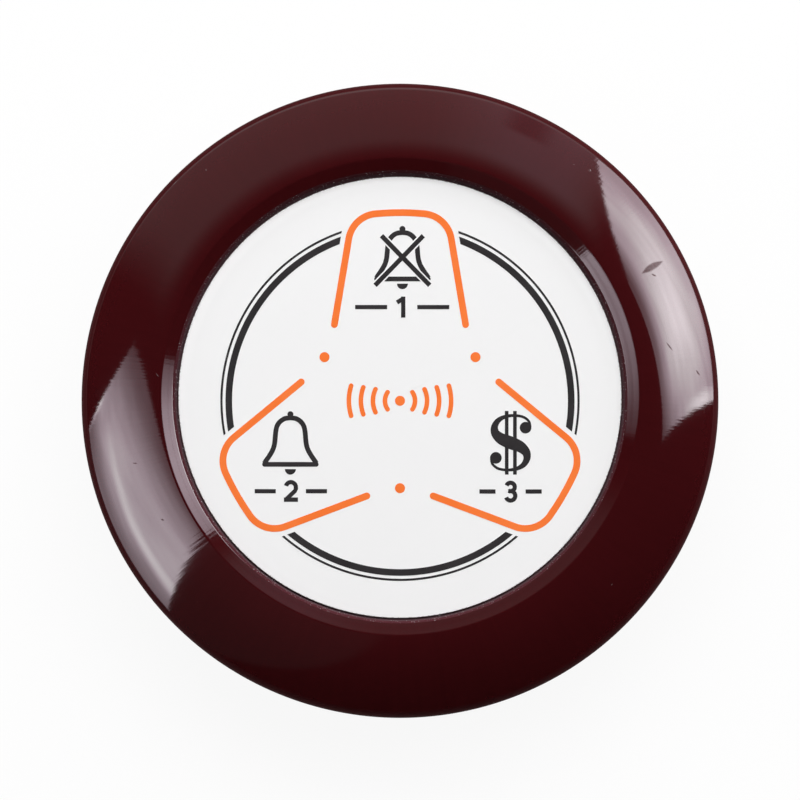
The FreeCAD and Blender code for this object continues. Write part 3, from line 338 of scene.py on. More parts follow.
def lower_cover():
    """The satin bottom: bowl, rebate, battery well and ledge, ribs, pillars and recesses."""
    inside = PARTING_RADIUS - WALL
    rebate = LIP_RADIUS + LIP_GAP
    base = (PARTING_RADIUS - BASE_ROUND, FLOOR_BOTTOM + BASE_ROUND)
    foot = (inside - FLOOR_ROUND, FLOOR_TOP + FLOOR_ROUND)
    profile = [
        (WELL_RADIUS, FLOOR_BOTTOM + WELL_BEVEL), (WELL_RADIUS + WELL_BEVEL, FLOOR_BOTTOM),
        *arc(base, BASE_ROUND, -90, 0, 24),
        (PARTING_RADIUS, PARTING - SEAM_BEVEL), (PARTING_RADIUS - SEAM_BEVEL, PARTING),
        (rebate, PARTING), (rebate, GASKET_SEAT), (inside, GASKET_SEAT),
        *arc(foot, FLOOR_ROUND, 0, -90, 8),
        (WELL_OUTSIDE, FLOOR_TOP), (WELL_OUTSIDE, BOARD_BOTTOM), (WELL_INSIDE, BOARD_BOTTOM),
        (WELL_INSIDE, LEDGE_TOP), (LEDGE_RADIUS, LEDGE_TOP), (LEDGE_RADIUS, LEDGE_BOTTOM),
        (WELL_RADIUS, LEDGE_BOTTOM), (WELL_RADIUS, FLOOR_BOTTOM + WELL_BEVEL),
    ]
    cover = turned("lower_cover_shell", profile)
    notch = oblong(LEDGE_RADIUS - OVERLAP, NOTCH_RADIUS, LEDGE_BOTTOM - 0.1, LEDGE_TOP + 0.15)
    notch = turned("notch", notch, NOTCH_SWEEP, NOTCH_MIDDLE - NOTCH_SWEEP / 2, 14)
    combine(cover, around(notch, THIRDS))
    stop = oblong(LEDGE_RADIUS, STOP_RADIUS, LEDGE_TOP - 0.25, LUG_TOP)
    stops = [around(turned("stops", stop, STOP_SWEEP, middle - STOP_SWEEP / 2, 4), THIRDS)
             for middle in (LUG_MIDDLE + STOP_TURN, NOTCH_MIDDLE - STOP_TURN)]
    rib = oblong(WELL_OUTSIDE - 0.55, inside + 0.2, -RIB_HALF, RIB_HALF)[:-1]
    ribs = around(prism("ribs", rib, FLOOR_TOP - OVERLAP, RIB_TOP), range(0, 360, 45))
    combine(cover, joined(ribs, *stops), "UNION")
    pillar = pin("pillars", SCREW_CIRCLE, 0, PILLAR_RADIUS, FLOOR_TOP - OVERLAP, PILLAR_TOP)
    combine(cover, around(pillar, QUARTERS), "UNION")
    bore = [(0, 0), (BORE_RADIUS + MARK_DEPTH, 0), (BORE_RADIUS + MARK_DEPTH, FLOOR_BOTTOM),
            (BORE_RADIUS, FLOOR_BOTTOM + MARK_DEPTH), (BORE_RADIUS, BORE_TOP),
            (HOLE_RADIUS, BORE_TOP), (HOLE_RADIUS, PILLAR_TOP + 0.5), (0, PILLAR_TOP + 0.5)]
    bores = around(moved(turned("bores", bore, steps=64), SCREW_CIRCLE, 0), QUARTERS)
    seats = around(pin("seats", SCREW_CIRCLE, 0, FOOT_RADIUS + 0.15, 0, FOOT_TOP, sides=96),
                   DIAGONALS)
    open_mark = turned("open_mark", oblong(0.35, 0.6, 0, FLOOR_BOTTOM + MARK_DEPTH), steps=32)
    rotated(moved(open_mark, 0, MARK_CIRCLE), NOTCH_MIDDLE - LUG_MIDDLE)
    closed_mark = pin("closed_mark", 0, MARK_CIRCLE, 0.55, 0, FLOOR_BOTTOM + MARK_DEPTH, sides=32)
    return smoothed(combine(cover, joined(bores, seats, open_mark, closed_mark)))


def battery_door():
    """The twist door: bevelled flange with a coin slot and a mark, cup, seal groove and lugs."""
    profile = [
        (0, FLOOR_BOTTOM), (DOOR_RADIUS - DOOR_BEVEL, FLOOR_BOTTOM),
        (DOOR_RADIUS, FLOOR_BOTTOM + DOOR_BEVEL), (DOOR_RADIUS, FLANGE_TOP),
        (SEAL_RADIUS, FLANGE_TOP), (SEAL_RADIUS, SEAL_BOTTOM), (CUP_RADIUS, SEAL_BOTTOM),
        (CUP_RADIUS, LUG_TOP), (CUP_RADIUS - CUP_BEVEL, LUG_TOP), (CUP_INSIDE + CUP_BEVEL, LUG_TOP),
        (CUP_INSIDE, LUG_TOP - CUP_BEVEL), (CUP_INSIDE, CUP_FLOOR), (0, CUP_FLOOR),
    ]
    door = turned("battery_door_shell", profile)
    lug = turned("lugs", oblong(CUP_RADIUS - 0.5, LUG_RADIUS, LUG_BOTTOM, LUG_TOP), LUG_SWEEP,
                 LUG_MIDDLE - LUG_SWEEP / 2, 12)
    combine(door, around(lug, THIRDS), "UNION")
    slot = [*arc((SLOT_REACH, 0), SLOT_HALF, -90, 90, 12), *arc((-SLOT_REACH, 0), SLOT_HALF, 90, 270, 12)]
    mark = prism("mark", [(-0.8, 10.6), (0.8, 10.6), (0, 12.2)], 0, FLOOR_BOTTOM + MARK_DEPTH)
    combine(door, joined(prism("slot", slot, 0, FLOOR_BOTTOM + SLOT_DEPTH), mark))
    return smoothed(door)


def rubber_feet():
    """Four round feet with soft edges, half sunk in the underside."""
    soft, flat = 0.45, FOOT_RADIUS - 0.55
    profile = [(0, 0), (flat, 0), *arc((flat, soft), soft, -90, -15, 6), (FOOT_RADIUS, FLOOR_BOTTOM),
               (FOOT_RADIUS, FOOT_TOP), (0, FOOT_TOP)]
    foot = moved(turned("rubber_feet_soft", profile, steps=96), SCREW_CIRCLE, 0)
    return around(foot, DIAGONALS)


def case_screws():
    """Four pan-head screws with a cross recess, heads down in their bores."""
    core, crest, pitch, first_turn, tip = 1.0, 1.3, 0.75, 4.6, 12.0
    profile = [(0, 2.4), (1.4, 2.42), *arc((1.5, 3.1), 0.7, -86, 0, 8), (2.2, BORE_TOP), (core, BORE_TOP)]
    for turn in range(8):
        foot = first_turn + turn * pitch
        profile += [(core, foot), (crest, foot + 0.28), (crest, foot + 0.36), (core, foot + 0.64)]
    profile += [(core, tip - 1), (0.45, tip), (0, tip)]
    screw = turned("case_screws_turned", profile, steps=64)
    arm = oblong(-1.2, 1.2, -0.28, 0.28)[:-1]
    across, along = (rotated(prism("cross", arm, 2.0, 3.35), turn) for turn in (0, 90))
    combine(screw, combine(across, along, "UNION"))
    return around(moved(rotated(screw, 45), SCREW_CIRCLE, 0), QUARTERS)


def cap(foot, low, top):
    """The profile of a cap of a sphere, from its top to its foot."""
    rise = top - low
    radius = (foot ** 2 + rise ** 2) / (2 * rise)
    return arc((0, top - radius), radius, 90, degrees(acos(foot / radius)), 12)


def snap_dome(key, turn):
    """The thin dome in the switch under a key, which flattens as the key goes down."""
    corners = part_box("switch_domes")
    low, high = (corner.z / MM for corner in corners)
    outside = cap(DOME_RADIUS, low, high)
    inside = cap(DOME_RADIUS - DOME_THICKNESS, low, high - DOME_THICKNESS)
    dome = turned(key + "_dome", outside + inside[::-1], steps=48)
    switch_circle = corners[1].y / MM - DOME_RADIUS
    rotated(moved(dome, 0, switch_circle), turn)
    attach(dome, "housing")
    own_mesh(dome)
    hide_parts("switch_domes")
    return dome


# Printed film ----------------

PRINT = 0.1412  # drawing unit of the print, in millimetres
PRINT_SHIFT = (0.0, -0.55)  # the print lies a little off the middle of the film
PRINT_TALL = 1.0057
INK = 0.02  # how far ink stands above the film
GRID = 0.5

# In drawing units: the orange line round the first key, and what its neighbours keep from it.
FRAME_FOOT, FRAME_SHOULDER, FRAME_WIDTH = (-65.5, 76), (-47.3, 185), 6.8
RING_GAP = 4.7
DOT_CIRCLE, DOT_RADIUS = 87, 5
LINE = 4.7  # the pen of the symbols


def film_sector(name, turn):
    """The third of the film over one key, fine enough to bend."""
    rings = int(FILM_RADIUS / GRID)
    bevel = 0.04
    edge = FILM_RADIUS - bevel
    top = [(edge * index / rings, FILM_TOP) for index in range(rings + 1)]
    side = [(FILM_RADIUS, FILM_TOP - bevel), (FILM_RADIUS, FILM_BOTTOM)]
    bottom = [(FILM_RADIUS * index / rings, FILM_BOTTOM) for index in range(rings - 1, -1, -1)]
    return turned(name, top + side + bottom, sweep=120, start=turn + 30, steps=120)


def follow_key(piece):
    """Bake the placement of a piece of the film or of its print over a key into its mesh."""
    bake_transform(piece)
    return piece


def through(points, steps=8):
    """A smooth line through points; a third number of a point is carried along."""
    ends = [tuple(2 * a - b for a, b in zip(points[0], points[1])), *points,
            tuple(2 * a - b for a, b in zip(points[-1], points[-2]))]
    path = []
    for before, start, end, after in zip(ends, ends[1:], ends[2:], ends[3:]):
        for step in range(steps):
            t = step / steps
            path.append(tuple(
                0.5 * (2 * b + (c - a) * t + (2 * a - 5 * b + 4 * c - d) * t * t
                       + (3 * b - a - 3 * c + d) * t ** 3)
                for a, b, c, d in zip(before, start, end, after)))
    return path + [tuple(points[-1])]


def stroke(path, width=None, round_ends=False):
    """The outline of a pen line; without a width, the third numbers of the path give it."""
    points = [Vector(place[:2]) for place in path]
    halves = [(width or place[2]) / 2 for place in path]
    left, right = [], []
    for index, (point, half) in enumerate(zip(points, halves)):
        run = points[min(index + 1, len(points) - 1)] - points[max(index - 1, 0)]
        aside = Vector((-run.y, run.x)).normalized() * half
        left.append(tuple(point + aside))
        right.append(tuple(point - aside))
    if not round_ends:
        return left + right[::-1]
    ends = []
    for point, inner, half in ((points[-1], points[-2], halves[-1]), (points[0], points[1], halves[0])):
        run = point - inner
        middle = degrees(atan2(run.y, run.x))
        ends.append(arc(point, half, middle + 90, middle - 90, 12)[1:-1])
    return left + ends[0] + right[::-1] + ends[1]


def disc(x, y, radius, start=0, end=360, count=40):
    """The outline of a disc or of a part of one."""
    ring = arc((x, y), radius, start, end, count)
    return ring[:-1] if end - start == 360 else ring


def mirrored(points):
    """The same points on the other side of the upright line."""
    return [(-x, y, *rest) for x, y, *rest in points]


def ink(name, outline, shift=(0, 0)):
    """Flat ink within a closed outline in drawing units from the middle of the print."""
    drawing = bpy.data.curves.new(name, "CURVE")
    drawing.dimensions, drawing.fill_mode = "2D", "BOTH"
    drawing.extrude = INK * MM
    line = drawing.splines.new("POLY")
    line.points.add(len(outline) - 1)
    for point, (x, y) in zip(line.points, outline):
        point.co = ((x + shift[0]) * PRINT * MM, (y + shift[1]) * PRINT * PRINT_TALL * MM, 0, 1)
    line.use_cyclic_u = True
    piece = bpy.data.objects.new(name, drawing)
    bpy.context.collection.objects.link(piece)
    only(piece)
    bpy.ops.object.convert(target="MESH")
    piece = moved(bpy.context.object, *PRINT_SHIFT, FILM_TOP)
    bpy.ops.object.mode_set(mode="EDIT")
    return close_up(piece)


def united(first, *others):
    """Ink strokes that cross, made one."""
    for other in others:
        combine(first, other, "UNION")
    return first


def gridded(piece):
    """Cut a print along a grid, fine enough to bend with the film under it."""
    only(piece)
    corners = [[f(v.co[axis] for v in piece.data.vertices) / MM for f in (min, max)] for axis in (0, 1)]
    bpy.ops.object.mode_set(mode="EDIT")
    for axis, (low, high) in enumerate(corners):
        normal = Vector((1 - axis, axis, 0))
        for index in range(floor(low / GRID) + 1, ceil(high / GRID)):
            bpy.ops.mesh.select_all(action="SELECT")
            bpy.ops.mesh.bisect(plane_co=normal * index * GRID * MM, plane_no=normal)
    return close_up(piece)


def key_frame():
    """The orange line round the first key: open towards the middle, its end slightly arched."""
    half = rounded([FRAME_FOOT, FRAME_SHOULDER, (0, 188.4), *mirrored([FRAME_SHOULDER])],
                   [0, 30, 250, 0], closed=False, steps=16)
    half = [place for place in half[:-1] if place[0] < -0.5] + [(0, 187.7)]
    return stroke(half + mirrored(half)[-2::-1], FRAME_WIDTH, round_ends=True)


def ring_part(outer, width):
    """A ring from the first key's orange line to the next one's, cut parallel to the lines."""
    foot = Vector(FRAME_FOOT)
    run = (Vector(FRAME_SHOULDER) - foot).normalized()
    foot += Vector((-run.y, run.x)) * (FRAME_WIDTH / 2 + RING_GAP)
    starts = []
    for radius in (outer, outer - width):
        reach = -foot.dot(run) + sqrt(foot.dot(run) ** 2 + radius ** 2 - foot.length_squared)
        start = foot + run * reach
        starts.append(degrees(atan2(start.y, start.x)))
    outside = arc((0, 0), outer, starts[0], 300 - starts[0], 90)
    inside = arc((0, 0), outer - width, 300 - starts[1], starts[1], 90)
    return outside + inside


def turned_outline(outline, turn):
    """An outline turned about the middle of the print."""
    c, s = cos(radians(turn)), sin(radians(turn))
    return [(x * c - y * s, x * s + y * c) for x, y in outline]


BELL = [(0, 46.4), (5.6, 45.5), (10.2, 42.6), (13.3, 38.2), (14.6, 32.5), (15.2, 26), (16.0, 19.5),
        (17.8, 14), (20.9, 8.6), (24.3, 3.6), (25.9, 1.0)]
# The upper half of the S, with the width of the stroke at each point.
HALF_S = [(19.6, 15.8, 2.4), (18.0, 21.4, 2.5), (12.4, 25.7, 2.6), (3.6, 27.1, 2.8), (-5.0, 26.1, 3.6),
          (-12.2, 22.4, 5.2), (-16.0, 16.2, 6.8), (-15.4, 9.8, 8.6), (-10.4, 4.6, 11.0),
          (-4.6, 1.8, 12.4), (0, 0, 12.8)]


def plain_bell(name, place):
    """A bell's outline, foot, knob and clapper, with the middle of its foot at its place."""
    side = through(BELL)
    body = stroke(side[::-1] + mirrored(side)[1:], 4.9)
    foot = stroke([(-25.8, 0), (25.8, 0)], LINE, round_ends=True)
    knob = disc(0, 49.9, 3.0)
    clapper = disc(0, -LINE, 5.5, 180, 360, 20)
    body, foot, knob, clapper = (ink(name, shape, place) for shape in (body, foot, knob, clapper))
    return joined(united(body, foot, knob), clapper)


def crossed_bell(name, place):
    """The bell with two strokes through it, and a clear edge left along them."""
    symbol = plain_bell(name, place)
    crossing = [[(side * 20.9, 43.2), (side * -27.3, -6.4)] for side in (-1, 1)]
    for line in crossing:
        clearance = moved(ink("clearance", stroke(line, 7.4), place), 0, 0, -FILM_TOP)
        clearance.data.transform(Matrix.Scale(4, 4, (0, 0, 1)))
        combine(symbol, moved(clearance, 0, 0, FILM_TOP))
    return joined(symbol, united(*(ink("line", stroke(line, LINE), place) for line in crossing)))


def money_sign(name, place):
    """An S of thin and thick strokes with ball ends, and two thin stems through it."""
    whole = HALF_S + [(-x, -y, width) for x, y, width in HALF_S[-2::-1]]
    letter = ink(name, stroke(through(whole, 6)), place)
    balls = [ink("ball", disc(side * 14.8, side * 15.0, 5.8), place) for side in (1, -1)]
    stems = [ink("stem", stroke([(x, -31.7), (x, 31.7)], 3.6), place) for x in (-4.0, 4.2)]
    return united(letter, *balls, *stems)


FIGURES = {
    "1": [[(-5.2, 4.6), (0.9, 8.4)], [(1.0, 10.5), (1.0, -10.5)]],
    "2": [[*arc((0, 4.0), 5.0, 165, 0, 14), (5.0, 2.6), (4.2, 0.4), (-5.0, -8.4)],
          [(-6.9, -8.4), (7.1, -8.4)]],
    "3": [arc((0, 4.5), 4.2, 160, -120, 20), arc((0, -4.3), 4.7, 115, -160, 20)],
}


def numeral(name, figure, place, width):
    """A plain number between two short bars."""
    lines = [ink(name, stroke(line, 4.3), place) for line in FIGURES[figure]]
    bars = [ink("bar", stroke([(side * 15, 0), (side * width / 2, 0)], 4.2), place) for side in (1, -1)]
    return joined(united(*lines), *bars)


def waves(name):
    """The middle ornament: a dot with waves spreading to both sides."""
    parts = [ink(name, disc(0, 0, DOT_RADIUS))]
    for radius, height in ((15, 8.5), (27, 11.5), (39, 13.5), (51, 15)):
        spread = degrees(asin(height / radius))
        for middle in (0, 180):
            line = arc((0, 0), radius, middle - spread, middle + spread, 24)
            parts.append(ink("wave", stroke(line, 4.6, round_ends=True)))
    return joined(*parts)


# Assembly ----------------


def place_case():
    """The pieces of the case, each in the place of its CAD node."""
    pieces = []
    for shape, node, body, slot in (
            (upper_cover, "upper_cover", "housing", "burgundy_case"),
            (lower_cover, "lower_cover", "housing", "burgundy_case"),
            (battery_door, "battery_door", "battery_door", "burgundy_case"),
            (rubber_feet, "rubber_feet", "housing", "black_rubber"),
            (case_screws, "case_screws", "housing", "zinc_steel")):
        piece = shape()
        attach(piece, body)
        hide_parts(node)
        pieces.append(piece)
    return pieces


def place_film():
    """The film and what is printed on it."""
    films, dark = [], []
    for key, turn in KEY_TURNS.items():
        film = follow_key(film_sector("film_over_%s_key" % key, turn))
        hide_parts("overlay_film")
        films.append(film)
    frames = [ink("%s_frame" % key, turned_outline(key_frame(), turn)) for key, turn in KEY_TURNS.items()]
    dots = joined(*[ink("orange_dots", disc(x, y, DOT_RADIUS))
                    for x, y in arc((0, 0), DOT_CIRCLE, -90, 150, 2)])
    orange = frames + [dots, waves("middle_waves")]
    for name, outer, width in (("broad_ring", 174.1, 6.6), ("fine_ring", 179.2, 2.2)):
        dark.append(joined(*[ink(name, turned_outline(ring_part(outer, width), turn)) for turn in THIRDS]))
    for piece in orange + dark:
        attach(piece, "housing")
    symbols = [crossed_bell("clear_symbol", (2.4, 121.5)), plain_bell("call_symbol", (-109.3, -63.3)),
               money_sign("bill_symbol", (110.4, -41.8))]
    numbers = [numeral("clear_number", "1", (2.2, 93.4), 94),
               numeral("call_number", "2", (-108.8, -90.0), 72),
               numeral("bill_number", "3", (110.2, -90.3), 62)]
    for key, *prints in zip(KEY_TURNS, symbols, numbers):
        for piece in prints:
            dark.append(follow_key(gridded(piece)))
    return films, dark, orange


# Finishes ----------------


def operator(operation, reflected=False):
    """A method that adds a Math node for an arithmetic sign."""
    def apply(value, other):
        pair = (other, value) if reflected else (value, other)
        return value.tree.math(operation, *pair)
    return apply


class Value:
    """A number, colour or vector from a node; arithmetic on a number adds Math nodes."""

    def __init__(self, tree, socket):
        self.tree = tree
        self.socket = socket

    __add__ = operator("ADD")
    __radd__ = operator("ADD", True)
    __sub__ = operator("SUBTRACT")
    __rsub__ = operator("SUBTRACT", True)
    __mul__ = operator("MULTIPLY")
    __rmul__ = operator("MULTIPLY", True)
    __truediv__ = operator("DIVIDE")
    __gt__ = operator("GREATER_THAN")
    __lt__ = operator("LESS_THAN")


class Nodes:
    """A node tree that is built up in code."""

    def __init__(self, owner):
        owner.use_nodes = True
        self.tree = owner.node_tree

    def node(self, kind, settings=None, sockets=None, output=0):
        """One output of a new node with these settings and these values or links of its sockets."""
        node = self.tree.nodes.new("ShaderNode" + kind)
        for name, value in (settings or {}).items():
            setattr(node, name, value)
        for name, value in (sockets or {}).items():
            self.feed(node.inputs[name], value)
        return Value(self, node.outputs[output])

    def outputs(self, names, kind, sockets=None):
        """Several outputs of one node."""
        node = self.node(kind, {}, sockets).socket.node
        return [Value(self, node.outputs[name]) for name in names]

    def feed(self, socket, value):
        """Link a value to a socket, or set it there."""
        if isinstance(value, Value):
            self.tree.links.new(value.socket, socket)
        elif socket.type == "RGBA" and len(value) == 3:
            socket.default_value = (*value, 1)
        else:
            socket.default_value = value

    def math(self, operation, *values):
        return self.node("Math", {"operation": operation}, dict(enumerate(values)))

    def vector(self, *values):
        return self.node("CombineXYZ", {}, dict(enumerate(values)))

    def mix(self, share, first, second):
        """Two shaders, the second one over this share of the surface."""
        return self.node("MixShader", {}, {0: share, 1: first, 2: second})

    def end_with(self, surface):
        """Take this shader as the material's surface."""
        self.feed(self.tree.nodes["Material Output"].inputs["Surface"], surface)

    def ease(self, value, low, high):
        """From 0 at low to 1 at high, smoothly."""
        return self.node("MapRange", {"interpolation_type": "SMOOTHSTEP"},
                         {"Value": value, "From Min": low, "From Max": high})

    def beside(self, value, near, far):
        """1 where a value is within near of 0, fading to 0 at far."""
        return 1 - self.ease(self.math("ABSOLUTE", value), near, far)

    def noise(self, size, detail=2.0, place=None, roughness=0.5):
        """Soft noise from 0 to 1 with grains of about this size, in millimetres for a finish."""
        return self.node("TexNoise", {}, {"Vector": place or self.millimetres, "Scale": 1 / size,
                                          "Detail": detail, "Roughness": roughness})

    def blend(self, share, first, second, kind="MIX"):
        """A colour between two others."""
        return self.node("Mix", {"data_type": "RGBA", "blend_type": kind},
                         {0: share, 6: first, 7: second}, output=2)


class Finish(Nodes):
    """A procedural material, made from values over the surface in millimetres."""

    def __init__(self, name, **constants):
        self.material = bpy.data.materials.new(name)
        super().__init__(self.material)
        self.shader = self.tree.nodes["Principled BSDF"]
        place = self.node("TexCoord", output="Object")
        self.millimetres = self.node("VectorMath", {"operation": "SCALE"}, {0: place, "Scale": 1 / MM})
        self.x, self.y, self.z = self.outputs("XYZ", "SeparateXYZ", {0: self.millimetres})
        self.set(**constants)

    def set(self, **values):
        """Feed the shader's sockets; an underscore in a name stands for a space."""
        for name, value in values.items():
            self.feed(self.shader.inputs[name.replace("_", " ")], value)

    def layer(self, **values):
        """Another shader of the same kind, with its sockets as in set."""
        sockets = {name.replace("_", " "): value for name, value in values.items()}
        return self.node("BsdfPrincipled", {}, sockets)

    def radius(self):
        return self.math("SQRT", self.x * self.x + self.y * self.y)

    def specks(self, spacing, size, share):
        """Scattered round specks: their mask."""
        distance, colour = self.outputs(("Distance", "Color"), "TexVoronoi", {
            "Vector": self.millimetres, "Scale": 1 / spacing})
        chance = self.node("SeparateColor", {}, {0: colour})
        return (1 - self.ease(distance * spacing, size * 0.5, size)) * (chance < share)

    def line_mark(self, start, end, width, bend=0.0):
        """A scratch between two places, seen from above: its mask."""
        run = Vector(end) - Vector(start)
        length = run.length
        along_x, along_y = run / length
        from_x, from_y = self.x - start[0], self.y - start[1]
        share = (from_x * along_x + from_y * along_y) / length
        bow = share * (1 - share) * (4 * bend)
        aside = self.math("ABSOLUTE", from_y * along_x - from_x * along_y - bow)
        thin = share * (1 - share) * (4 * width) - aside
        return self.ease(thin, 0, width * 0.5)

    def bump(self, height, depth):
        """Raise the surface by height times a depth in millimetres."""
        return self.node("Bump", {}, {"Height": height, "Strength": 1.0, "Distance": depth * MM})

    def finish(self, *pieces):
        """Give the finish to these pieces."""
        for piece in pieces:
            piece.data.materials.clear()
            piece.data.materials.append(self.material)

    def dress(self, *names):
        """Give the finish to CAD nodes."""
        for name in names:
            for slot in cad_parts[name].material_slots:
                slot.material = self.material


POLISHED = 0.03  # the least roughness of the case
PALE_SCRATCHES = (  # start, end, width and bow
    ((26.8, 32.5), (27.0, 32.05), 0.05, 0.0), ((26.65, 32.3), (26.8, 32.05), 0.03, 0.0),
    ((24.4, 33.05), (24.75, 33.0), 0.03, 0.0), ((-31.5, 31.3), (-32.4, 30.3), 0.04, 0.2),
    ((-27.5, 32.5), (-27.3, 32.2), 0.08, 0.0), ((-34.4, 3.3), (-33.9, 2.6), 0.04, 0.0),
    ((29.7, -26.65), (29.9, -26.35), 0.07, 0.0),
)
DULL_SPOTS = (  # start, end and width
    ((35.4, 17.45), (36.2, 17.05), 0.16), ((37.4, 7.8), (38.5, 6.4), 0.12),
    ((41.7, 4.0), (42.3, 3.1), 0.14), ((-37.7, -9.4), (-36.9, -9.45), 0.1),
    ((-33.7, -17.3), (-33.1, -17.55), 0.13),
)


def burgundy_gloss():
    """Polished dark burgundy with marks, dust and scuffs; its side and recess wall are dull, and the
    recess wall has painted bounce light.
    """
    f = Finish("burgundy_gloss", IOR=1.5)
    radius = f.radius()
    spoke_x, spoke_y = f.x / radius, f.y / radius
    spokes = f.noise(1.0, 4, f.vector(spoke_x * 60, spoke_y * 60, radius * 0.04))
    fine_spokes = f.noise(1.0, 3, f.vector(spoke_x * 140, spoke_y * 140, radius * 0.12))
    rings = f.noise(1.0, 2, f.vector(radius * 2.6, spoke_x * 2.5, spoke_y * 2.5))
    base = f.blend(f.noise(9, 3), (0.041, 0.0033, 0.0044), (0.046, 0.0038, 0.0051))
    base = f.blend(spokes, base, (0.85, 0.85, 0.85), "MULTIPLY")
    worn = f.specks(7, 0.06, 0.2) * 0.7 + f.specks(2.6, 0.035, 0.12) * 0.3
    for start, end, width, bow in PALE_SCRATCHES:
        worn = worn + f.line_mark(start, end, width, bow) * 0.6
    worn = f.math("MINIMUM", worn, 1.0)
    smudge = f.line_mark((33.9, 17.25), (37.3, 19.45), 0.6, 0.1) * (0.7 + f.noise(0.5, 3) * 0.5)
    for start, end, width in DULL_SPOTS:
        smudge = smudge + f.line_mark(start, end, width)
    colour = f.blend(worn * 0.7, base, (0.30, 0.25, 0.25))
    rough = POLISHED + fine_spokes * 0.02 + f.noise(14, 3) * 0.02 + worn * 0.4
    normal = f.bump(spokes * 0.5 + fine_spokes * 0.5, 0.0045)
    f.set(Base_Color=colour, Roughness=rough, Normal=normal)
    satin = f.layer(Base_Color=base, Roughness=0.5 + fine_spokes * 0.1, IOR=1.5,
                    Specular_IOR_Level=0.02, Normal=normal)
    dimmer = f.layer(Base_Color=colour, Roughness=rough, IOR=1.5, Specular_IOR_Level=0.27,
                     Normal=normal)
    ragged = f.noise(0.3, 3, roughness=0.7) * 0.14
    # Painted light: the recess wall is painted paler than the burgundy, palest at its foot, for light
    # bounced from the white film into the shaded recess.
    wall = f.blend(f.ease(radius - ragged, RECESS_RADIUS, RECESS_RADIUS + 0.3),
                   (0.095, 0.052, 0.059), (0.066, 0.017, 0.022))
    flecks = f.ease(f.noise(0.24, 2), 0.66, 0.71)
    dull = f.layer(Base_Color=f.blend(flecks, wall, (0.42, 0.38, 0.39)), Roughness=0.9,
                   Specular_IOR_Level=0.0)
    bevel_start = RECESS_RADIUS + RECESS_LEAN
    bevel_end = bevel_start + BEVEL_WIDTH
    bevel = 1 - f.ease(radius, bevel_end, bevel_end + 0.3)
    handled = f.ease(0 - spoke_x, 0.6, 0.85)
    groove = f.beside(radius - bevel_start - BEVEL_WIDTH * 0.45, 0.06, 0.24)
    bevel = bevel * (0.5 + rings * 0.5 - handled + groove * 0.45)
    side = 1 - f.ease(f.z, RIM_HEIGHT + 1.66, RIM_HEIGHT + 1.86)
    inner = 1 - f.ease(radius - ragged, bevel_start - 0.1, bevel_start - 0.02)
    surface = f.mix(bevel, Value(f, f.shader.outputs[0]), dimmer)
    surface = f.mix(f.math("MAXIMUM", side, smudge * 0.75), surface, satin)
    f.end_with(f.mix(inner, surface, dull))
    return f


def burgundy_satin():
    """The finely eroded finish of the underside and the battery door."""
    f = Finish("burgundy_satin", IOR=1.5, Specular_IOR_Level=0.18)
    grain = f.noise(0.16, 3, roughness=0.7)
    colour = f.blend(f.noise(6, 3), (0.040, 0.0036, 0.0048), (0.045, 0.0042, 0.0056))
    rubbed = f.ease(f.noise(5, 4), 0.55, 0.75)
    f.set(Base_Color=colour, Roughness=0.5 + grain * 0.12 - rubbed * 0.12,
          Normal=f.bump(grain, 0.03))
    return f


def white_film():
    """Matte white polyester with a very fine grain, a dusty cut edge and painted light near its edge on
    the +Y side.
    """
    f = Finish("white_film", IOR=1.45, Specular_IOR_Level=0.08)
    grain = f.noise(0.12, 3, roughness=0.65)
    radius = f.radius()
    near_edge = f.ease(radius, FILM_RADIUS - 0.14, FILM_RADIUS - 0.02)
    nibbled = near_edge * f.ease(f.noise(0.3, 3), 0.5, 0.62)
    dust = f.specks(9, 0.09, 0.2)
    colour = f.blend(f.noise(16, 3), (0.878, 0.878, 0.878), (0.891, 0.891, 0.891))
    # Painted light: paler towards the edge on the +Y side, to lift the shade that the recess wall casts on
    # the film there.
    painted_light_near_edge = f.ease(radius, FILM_RADIUS - 1.8, FILM_RADIUS - 0.1) * f.ease(f.y, -16, 24)
    colour = f.blend(painted_light_near_edge, colour, (0.98, 0.98, 0.98))
    colour = f.blend(nibbled * 0.7 + dust * 0.25, colour, (0.16, 0.13, 0.14))
    f.set(Base_Color=colour, Roughness=0.52 + grain * 0.1, Normal=f.bump(grain, 0.004))
    return f


def printing_ink(name, colour, paler):
    """Screen-printed ink: a little uneven, with the film's grain under it."""
    f = Finish(name, IOR=1.48, Specular_IOR_Level=0.03)
    screen = f.noise(0.22, 3, roughness=0.6)
    shade = f.blend(f.ease(f.noise(3.5, 3), 0.35, 0.7), colour, paler)
    shade = f.blend(f.specks(0.9, 0.04, 0.12) * 0.5, shade, (0.7, 0.68, 0.66))
    f.set(Base_Color=shade, Roughness=0.42 + screen * 0.14, Normal=f.bump(screen, 0.004))
    return f


def plain_finish(name, colour, rough, metallic, grain, depth):
    """A moulded, rubber or metal finish with a grain and a slight change of shade."""
    f = Finish(name, Metallic=metallic)
    texture = f.noise(grain, 4, roughness=0.6)
    darker, paler = ([part * share for part in colour] for share in (0.88, 1.12))
    f.set(Base_Color=f.blend(f.noise(grain * 12, 3), darker, paler),
          Roughness=rough + (texture - 0.5) * 0.16, Normal=f.bump(texture, depth))
    return f


def two_finishes(name, mask_of, first, second):
    """Colour, roughness and metal of two materials in one piece, divided by a mask."""
    f = Finish(name)
    mask = mask_of(f)
    texture = f.noise(0.2, 3)
    (colour, rough, metal), (other, other_rough, other_metal) = first, second
    shade = f.blend(mask, colour, other)
    shade = f.blend(texture, shade, (0.9, 0.9, 0.9), "MULTIPLY")
    f.set(Base_Color=shade, Roughness=rough + mask * (other_rough - rough) + texture * 0.08,
          Metallic=metal + mask * (other_metal - metal), Normal=f.bump(texture, 0.01))
    return f


